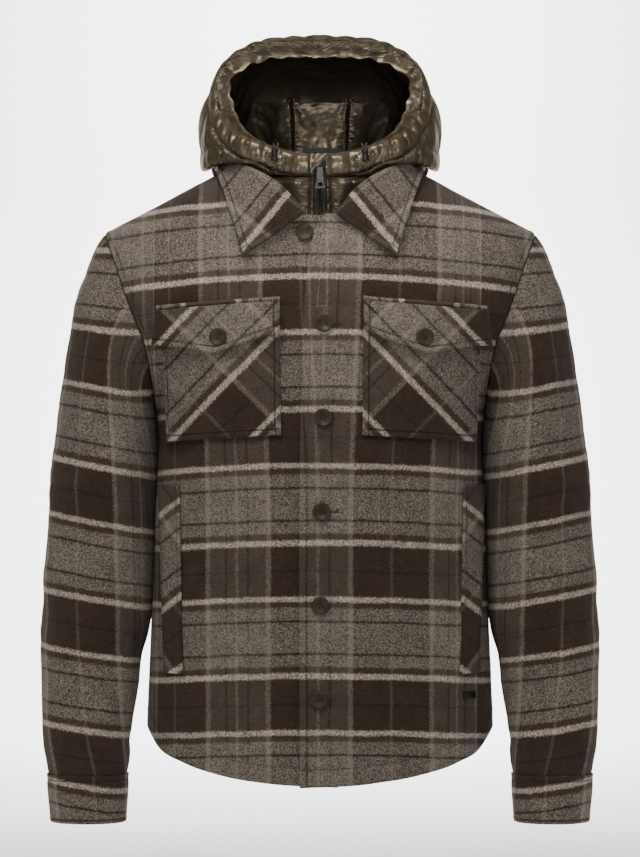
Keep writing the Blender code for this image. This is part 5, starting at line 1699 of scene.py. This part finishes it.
def make_hood():
    """The quilted hood with its rim casing, gathered seams and creased lining."""
    half, shares = hood_base()
    normals = grid_normals(half)
    if np.sum(normals * (half - np.array(HOOD_MIDDLE))) < 0:
        normals = -normals
    normals[[0, -1], :, 0] = 0
    normals = unit(normals)
    away = edge_distances(half)
    part = np.linspace(0, 1, HOOD_COLUMNS)[:, None]
    deep = away["left"][:, -1:]
    down = away["left"]
    run = np.cumsum(np.concatenate([
        np.zeros((1, HOOD_ROWS)), np.linalg.norm(np.diff(half, axis=0), axis=-1)
    ]), axis=0)
    main = np.interp(part, MAIN_SEAM[:, 0], MAIN_SEAM[:, 1])
    lower = np.interp(part, LOWER_SEAM[:, 0], LOWER_SEAM[:, 1])
    share_down = down / deep
    over_head = ease(part, 0.48, 0.56)
    beside = ease(part, 0.42, 0.45)
    seams = [
        down - CASING_DEPTH + 0.05 * (1 - over_head),
        down - main * deep,
        down - lower * deep - 0.05 * (1 - beside),
    ]
    sideways = ease(normals[..., 1], -0.50, -0.15)
    relief = np.zeros_like(down)
    for number, (distance, strength) in enumerate(zip(seams, (0.5 * over_head, 1.0, 0.8 * beside))):
        strength = strength * (1 - 0.85 * sideways)
        relief = relief + strength * seam_relief(distance, run, HOOD_VALLEY, 0.010, 0.0020, 50 + number)
    bounds = [np.zeros_like(part), main, np.where(beside > 0, lower, main), np.full_like(part, 1.02)]
    channels = hood_channels(share_down, deep, bounds)
    relief = relief + channels * HOOD_PUFF * (0.35 + 0.65 * ease(part, 0.0, 0.03))
    nearest = np.min(np.abs(seams), axis=0)
    for valley, near in cross_seams(part, share_down, run, down):
        relief = relief + valley
        nearest = np.minimum(nearest, near)
    for gather in casing_gathers(part, run, down):
        relief = relief + gather
    nearest = nearest + 0.017 * sideways
    relief = relief + ripple(run, down, 0.035, 0.0011, 71) * (1 - 0.7 * sideways)
    relief = relief - HOOD_HELD_IN * ease(part, 0.30, 0.45) * (1 - ease(part, 0.74, 0.88))
    ends = ease(np.minimum(down, away["right"]), 0.0, 0.004) * ease(run, 0.0, 0.008)
    calm = set_eyelets(half, normals)
    relief = np.clip(relief * (0.25 + 0.75 * ends) * calm, -0.0038, 0.0060)
    outer_half = half + normals * relief[..., None]
    hang = ease(part, 0.30, 0.42) * (1 - ease(part, 0.66, 0.80))
    hang = HOOD_HANGS * hang * bell(share_down - 0.62, 0.13)
    outer_half[..., 2] -= hang
    ruffle = (gathers(run, 0.022, 83) - 0.45) * 0.0045 * np.exp(-down / 0.008) * ease(part, 0.35, 0.50)
    towards = unit(half[:, :1] - half[:, 4:5])
    outer_half = outer_half + towards * ruffle[..., None]
    outer_half[-1, :, 0] = 0
    folds = lining_folds(part, share_down, run, down)
    inner_half = half - normals * (HOOD_WALL + folds)[..., None] + towards * ruffle[..., None]
    inner_half[..., 2] -= hang
    inner_half[-1, :, 0] = 0
    outer, inner = both_halves(outer_half), both_halves(inner_half)
    laid = np.stack([both_halves_of(run), both_halves_of(down)], axis=-1)
    seamed = both_halves_of(nearest)
    piece = cloth("hood_cloth", [(outer, inner)], nylon, "hood", [laid], [seamed], edge=0.0018)
    stitched = []
    for distance, offset in ((seams[1], 0.0), (seams[2], 0.0), (seams[0], -0.0036), (seams[0], -0.0008)):
        stitched.append(line_at(outer, both_halves_of(distance), offset, "across"))
    threads("hood_stitches", stitched, pale_thread, 0.0030, 0.62, 0.00026)


def both_halves_of(half):
    """A half grid of plain values and its repeat on the other side."""
    return np.concatenate([half, half[-2::-1]], axis=0)


BAND_STATIONS = 171
BAND_ROWS = 36
BAND_SEAM = 4.33
BAND_ROLL = 0.026
BAND_SPREADS = 0.011
BAND_PEAKS = ((3.0, 0.004), (BAND_SEAM, 0.007), (1.9, 0.003))


def make_band():
    """The padded band inside the hood, with stitched channels and peaks along its top."""
    past_middle = BAND[-2] * (-1, 1, 1, -1, 1, 1)
    count = (BAND_STATIONS - 1) // (len(BAND) - 1) * len(BAND) + 1
    stations = smooth_path(np.vstack([BAND, past_middle]), count)[:BAND_STATIONS]
    at = np.linspace(0, len(BAND) - 1, BAND_STATIONS)[:, None]
    low, high = stations[:, None, :3], stations[:, None, 3:].copy()
    for place, rise in BAND_PEAKS:
        high[..., 2] += rise * bell(at - place, 0.10) - rise * 0.25 * bell(at - place, 0.45)
    shares = np.linspace(0, 1, BAND_ROWS)
    half = low + (high - low) * shares[None, :, None]
    half[..., 0] += BAND_SPREADS * bell(at - 2.0, 0.8) * np.sin(shares * math.pi)[None, :]
    outward = unit(half * np.array([1, 1, 0]) + np.array([0, 0.01, 0]))
    away = edge_distances(half)
    run, rise, top = away["low"], away["left"], away["right"]
    rounded = np.sin(shares * math.pi)[None, :]
    puff = np.zeros_like(run)
    for first, last in ((0.0, BAND_SEAM), (BAND_SEAM, 2 * (len(BAND) - 1) - BAND_SEAM)):
        local = (at - first) / (last - first)
        inside = (local >= 0) & (local <= 1)
        puff = np.maximum(puff, np.where(inside, np.sin(np.clip(local, 0, 1) * math.pi) ** 0.55, 0))
    relief = 0.0050 * puff * rounded**0.5 + BAND_ROLL * bell(at - 2.3, 0.95) * rounded**0.8
    step = run - np.array([[np.interp(BAND_SEAM, at[:, 0], column) for column in run.T]])
    relief = relief + seam_relief(step, rise, 0.0020, 0.010, 0.0020, 90, 0.6)
    gathered = (gathers(run, 0.016, 95) - 0.5) * 0.0018 * np.exp(-top / 0.012)
    relief = relief + gathered * ease(top, 0.0, 0.004) * (1 - ease(at, 4.6, 5.0))
    relief = relief + ripple(run, rise, 0.030, 0.0014, 96) * (1 - ease(at, 4.4, 5.0))
    relief = np.clip(relief, -0.0010, 0.0300) * ease(np.minimum(top, rise), 0.0, 0.006)
    outer_half = half.copy()
    inner_half = half - outward * (BAND_WALL + relief)[..., None]
    for grid in (outer_half, inner_half):
        grid[-1, :, 0] = 0
    laid = np.stack([both_halves_of(rise), both_halves_of(run)], axis=-1)
    shown = both_halves(inner_half)
    # The band's finish is the glossy nylon darkened as painted shade.
    piece = cloth(
        "neck_band_cloth", [(shown, both_halves(outer_half))], lining, "neck_band", [laid],
        [both_halves_of(np.abs(step))], edge=0.0020,
    )
    lines = []
    for place in (BAND_SEAM - 0.07, BAND_SEAM + 0.07):
        row = int(place / (len(BAND) - 1) * (BAND_STATIONS - 1))
        for path in (shown[row], shown[-1 - row]):
            lines.append((path, -unit(path * np.array([1, 1, 0]))))
    threads("neck_band_stitches", lines, pale_thread, 0.0032, 0.6, 0.00026)


BIB_WIDENS = 0.008
BIB_SEAMS = (-0.0075, -0.046, -0.083)
BIB_EDGE_STITCH = 0.0045


def bib_face(z):
    """The bib's face at the zip."""
    return smooth_value(BIB, np.asarray(z, float), 1)


def make_bibs():
    """The quilted fronts of the bib, with puckers at the seams and beside the zip."""
    rows, columns = 110, 46
    z = np.linspace(BIB[0, 0], BIB[-1, 0], rows)[:, None] * np.ones((1, columns))
    across = np.linspace(0, 1, columns)[None, :]
    wide = smooth_value(BIB, z, 2) + BIB_WIDENS * ease(z, -0.045, -0.022)
    x = ZIP_HALF_GAP + (wide - ZIP_HALF_GAP) * across
    base = np.stack([x, bib_face(z) + BIB_FALLS_BACK * across**2, z + BIB_RISES * across], axis=-1)
    away = edge_distances(base)
    relief = 0.0020 * np.sin(across * math.pi) ** 0.6 * np.ones_like(x)
    for number, seam in enumerate(BIB_SEAMS):
        relief = relief + seam_relief(z - seam, x, 0.0014, 0.010, 0.0026, 110 + number, 0.5)
    beside = away["left"]
    relief = relief + seam_relief(beside - BIB_EDGE_STITCH, z, 0.0012, 0.008, 0.0026, 115, 0.8)
    relief = relief + ripple(x, z, 0.03, 0.0014, 116)
    calm = ease(np.minimum(beside, away["right"]), 0.0, 0.004) * ease(away["high"], 0.0, 0.004)
    relief = np.clip(relief, -0.0012, 0.0042) * calm
    outer = base - np.array([0, 1, 0]) * relief[..., None]
    inner = base + np.array([0, BIB_WALL, 0])
    for side, flip in (("left", np.array), ("right", mirrored)):
        face = flip(outer)
        piece = cloth(
            f"bib_{side}_cloth", [(face, flip(inner))], nylon, f"bib_{side}",
            [np.stack([z, x], axis=-1)], [np.abs(beside - BIB_EDGE_STITCH)], edge=0.0010,
        )
        lines = [line_at(face, beside, BIB_EDGE_STITCH, "across")]
        threads(f"bib_{side}_stitches", lines, pale_thread, 0.0030, 0.7, 0.00025)


# Zip and its guard


def box(mesh, size, place, round_off):
    """A small block with rounded edges."""
    made = bmesh.ops.create_cube(mesh, size=1)
    verts = made["verts"]
    bmesh.ops.scale(mesh, vec=size, verts=verts)
    bmesh.ops.translate(mesh, vec=place, verts=verts)
    edges = list({edge for vert in verts for edge in vert.link_edges})
    bmesh.ops.bevel(
        mesh, geom=edges, offset=round_off, affect="EDGES", segments=1, profile=0.5, material=-1,
    )


def make_zip():
    """Tapes with their ribs, and the closed teeth below the slider."""
    rows, columns = 90, 8
    z = np.linspace(ZIP_BOTTOM, ZIP_TOP, rows)[:, None] * np.ones((1, columns))
    x = np.linspace(TAPE_INNER_X, TAPE_OUTER_X, columns)[None, :] * np.ones((rows, 1))
    relief = 0.0002 * np.sin(np.linspace(0, 3 * math.pi, columns))[None, :] * np.ones_like(z)
    face = np.stack([x, bib_face(z) - relief, z], axis=-1)
    back = np.stack([x, bib_face(z) + TAPE_THICKNESS, z], axis=-1)
    for side, flip in (("left", np.array), ("right", mirrored)):
        cloth(
            f"zip_tape_{side}_cloth", [(flip(face), flip(back))], tape_cloth, f"zip_tape_{side}",
            None, None, edge=0.0003,
        )
    teeth = bmesh.new()
    low, high, pitch = ZIP_BOTTOM + 0.002, SLIDER_TOP - SLIDER_SIZE[2] - 0.001, 0.0016
    for number in range(int((high - low) / pitch)):
        height = low + number * pitch
        side = 1 if number % 2 else -1
        y = float(bib_face(height)) - 0.0001
        box(teeth, (0.0028, 0.0017, 0.0012), (side * 0.00105, y, height), 0.0003)
    settle("zip_teeth", teeth, zip_metal)


def make_guard():
    """The turned-over corner of nylon that covers the top of the zip."""
    (left_x, top_z), (right_x, _), (low_x, low_z) = GUARD
    rows, columns = 34, 30
    down = np.linspace(0, 1, rows)[:, None]
    across = np.linspace(0, 1, columns)[None, :]
    start = left_x + (low_x - left_x) * down
    end = right_x + (low_x + 0.0006 - right_x) * down
    x = start + (end - start) * across
    z = top_z + (low_z - top_z) * down * np.ones_like(across)
    bulge = (0.0012 * np.sin(across * math.pi) + 0.0007 * np.sin(9 * across + 5 * down)) * (1 - down)
    face = np.stack([x, GUARD_FACE - bulge, z], axis=-1)
    back = np.stack([x, np.full_like(x, GUARD_FACE + GUARD_THICKNESS), z], axis=-1)
    cloth("zip_guard_cloth", [(face, back)], nylon, "zip_guard", None, None, edge=0.0006)


# Drawcords, hanging loop and the metal that stays from the frame


def make_cords():
    """Two short cord ends on each side, from an eyelet up through the lock to a free end."""
    for side, sign in (("left", 1), ("right", -1)):
        for name, route in CORD_ROUTES.items():
            points = smooth_path([(sign * x, y, z) for x, y, z in route], 40)
            full = f"drawcord_{side}_{name}"
            made = round_lines(f"{full}_cord", [points], CORD_RADIUS, cord_cloth, resolution=3)
            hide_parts(full)


def make_hanger():
    """The hanging loop at the foot of the band."""
    low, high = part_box("hanger_loop")
    across = np.linspace(0, 1, 40)
    y = high.y - HANGER_THICKNESS - (high.y - low.y - HANGER_THICKNESS) * np.sin(across * math.pi) ** 0.8
    x, z = np.meshgrid(np.linspace(low.x, high.x, len(across)), np.linspace(low.z, high.z, 7))
    face = np.stack([x, np.broadcast_to(y, x.shape), z], axis=-1)
    back = face + np.array([0, HANGER_THICKNESS, 0])
    cloth("hanger_loop_cloth", [(face, back)], tape_cloth, "hanger_loop", None, None, edge=0.0004)


def dress_metal():
    """Rounds and finishes the zip's own metal pieces."""
    for name, width in (("zip_slider", 0.0006), ("zip_pull", 0.0004)):
        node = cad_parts[name]
        node.data.materials.clear()
        node.data.materials.append(metal)
        rounded = node.modifiers.new("rounded", "BEVEL")
        rounded.width = width
        rounded.segments = 3
        rounded.limit_method = "ANGLE"


# Stage


CAMERA_DISTANCE = 4.0
CAMERA_HEIGHT = -0.2833
VIEW_HEIGHT = 0.977
FLOOR = -0.80
FLOOR_HALF_WIDTH = 9.0
FLOOR_FRONT = -6.0
CURVE_START = 2.0
CURVE_RADIUS = 1.0
WALL_HEIGHT = 4.2


def pale_floor():
    """A pale finish that is seen through from its back, so that the backdrop never hides the jacket."""
    made, nodes, shader = new_material("pale floor")
    set_values(shader, Base_Color=(0.88, 0.88, 0.88, 1), Roughness=0.9)
    mix = nodes.add("ShaderNodeMixShader")
    nodes.plug(nodes.add("ShaderNodeNewGeometry").outputs["Backfacing"], mix.inputs[0])
    nodes.plug(shader.outputs[0], mix.inputs[1])
    nodes.plug(nodes.add("ShaderNodeBsdfTransparent").outputs[0], mix.inputs[2])
    nodes.plug(mix.outputs[0], made.node_tree.nodes["Material Output"].inputs[0])
    return made


def soft_light(name, place, target, size, power, spread=180):
    """A large soft light that faces a point."""
    data = bpy.data.lights.new(name, "AREA")
    data.shape = "RECTANGLE"
    data.size, data.size_y = size
    data.energy = power
    data.spread = math.radians(spread)
    lamp = bpy.data.objects.new(name, data)
    lamp.location = place
    lamp.rotation_euler = (Vector(target) - Vector(place)).to_track_quat("-Z", "Y").to_euler()
    bpy.context.scene.collection.objects.link(lamp)


def make_stage():
    """Pale floor and backdrop, soft studio light and a level camera before the jacket."""
    mesh = bmesh.new()
    bmesh.ops.create_grid(mesh, x_segments=2, y_segments=40, size=1)
    for vert in mesh.verts:
        share = (vert.co.y + 1) / 2
        angle = np.clip((share - 0.5) / 0.2, 0, 1) * math.pi / 2
        y = FLOOR_FRONT + (CURVE_START - FLOOR_FRONT) * min(share / 0.5, 1) + CURVE_RADIUS * math.sin(angle)
        z = FLOOR + CURVE_RADIUS * (1 - math.cos(angle)) + WALL_HEIGHT * max(share - 0.7, 0) / 0.3
        vert.co = (vert.co.x * FLOOR_HALF_WIDTH, y, z)
    data = bpy.data.meshes.new("floor")
    mesh.to_mesh(data)
    mesh.free()
    data.shade_smooth()
    data.materials.append(pale_floor())
    floor = bpy.data.objects.new("floor", data)
    bpy.context.scene.collection.objects.link(floor)
    floor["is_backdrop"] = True
    world = bpy.data.worlds.new("studio")
    bpy.context.scene.world = world
    world.use_nodes = True
    nodes = Nodes(world.node_tree)
    sky = world.node_tree.nodes["Background"]
    sky.inputs[0].default_value = (1.0, 1.0, 1.0, 1)
    height = nodes.add("ShaderNodeSeparateXYZ")
    nodes.plug(nodes.add("ShaderNodeTexCoord").outputs["Generated"], height.inputs[0])
    nodes.plug(nodes.spread(height.outputs[2], 0.0, 0.9, 0.05, 0.50), sky.inputs[1])
    soft_light("key", (-0.3, -1.15, 1.5), (0, 0, -0.05), (1.1, 0.7), 32)
    soft_light("side left", (-2.4, -1.2, 0.4), (0, 0, -0.3), (0.8, 2.0), 5)
    soft_light("side right", (2.4, -1.2, 0.5), (0, 0, -0.3), (0.8, 2.0), 6)
    soft_light("front", (0.3, -3.2, 0.5), (0, 0, 0.0), (0.7, 0.7), 4)
    soft_light("hood light", (0.2, -2.4, 0.0), (0, 0.06, 0.10), (0.4, 0.4), 0.3, spread=16)
    soft_light("backdrop light", (0, 1.2, 2.4), (0, 3.0, -0.2), (0.9, 0.6), 95, spread=70)
    soft_light("floor light", (0, 1.4, 1.4), (0, 1.25, -0.8), (1.0, 0.8), 36, spread=80)
    lens = bpy.data.cameras.new("camera")
    lens.sensor_fit = "VERTICAL"
    lens.sensor_height = 36
    lens.lens = 36 * CAMERA_DISTANCE / VIEW_HEIGHT
    camera = bpy.data.objects.new("camera", lens)
    camera.location = (0, -CAMERA_DISTANCE, CAMERA_HEIGHT)
    camera.rotation_euler = (math.pi / 2, 0, 0)
    bpy.context.scene.collection.objects.link(camera)
    bpy.context.scene.camera = camera


def write_size():
    """Works out the frame's box and the finished model's box; nothing is written out or compared."""
    boxes = [[list(map(float, corner)) for corner in box] for box in (CAD_BOX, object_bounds())]


make_stage()
make_cords()
make_body()
make_sleeves()
make_patches()
make_collar()
make_stand()
make_hood()
make_locks()
make_band()
make_bibs()
make_buttons()
make_plate()
make_zip()
make_guard()
make_hanger()
dress_metal()
write_size()
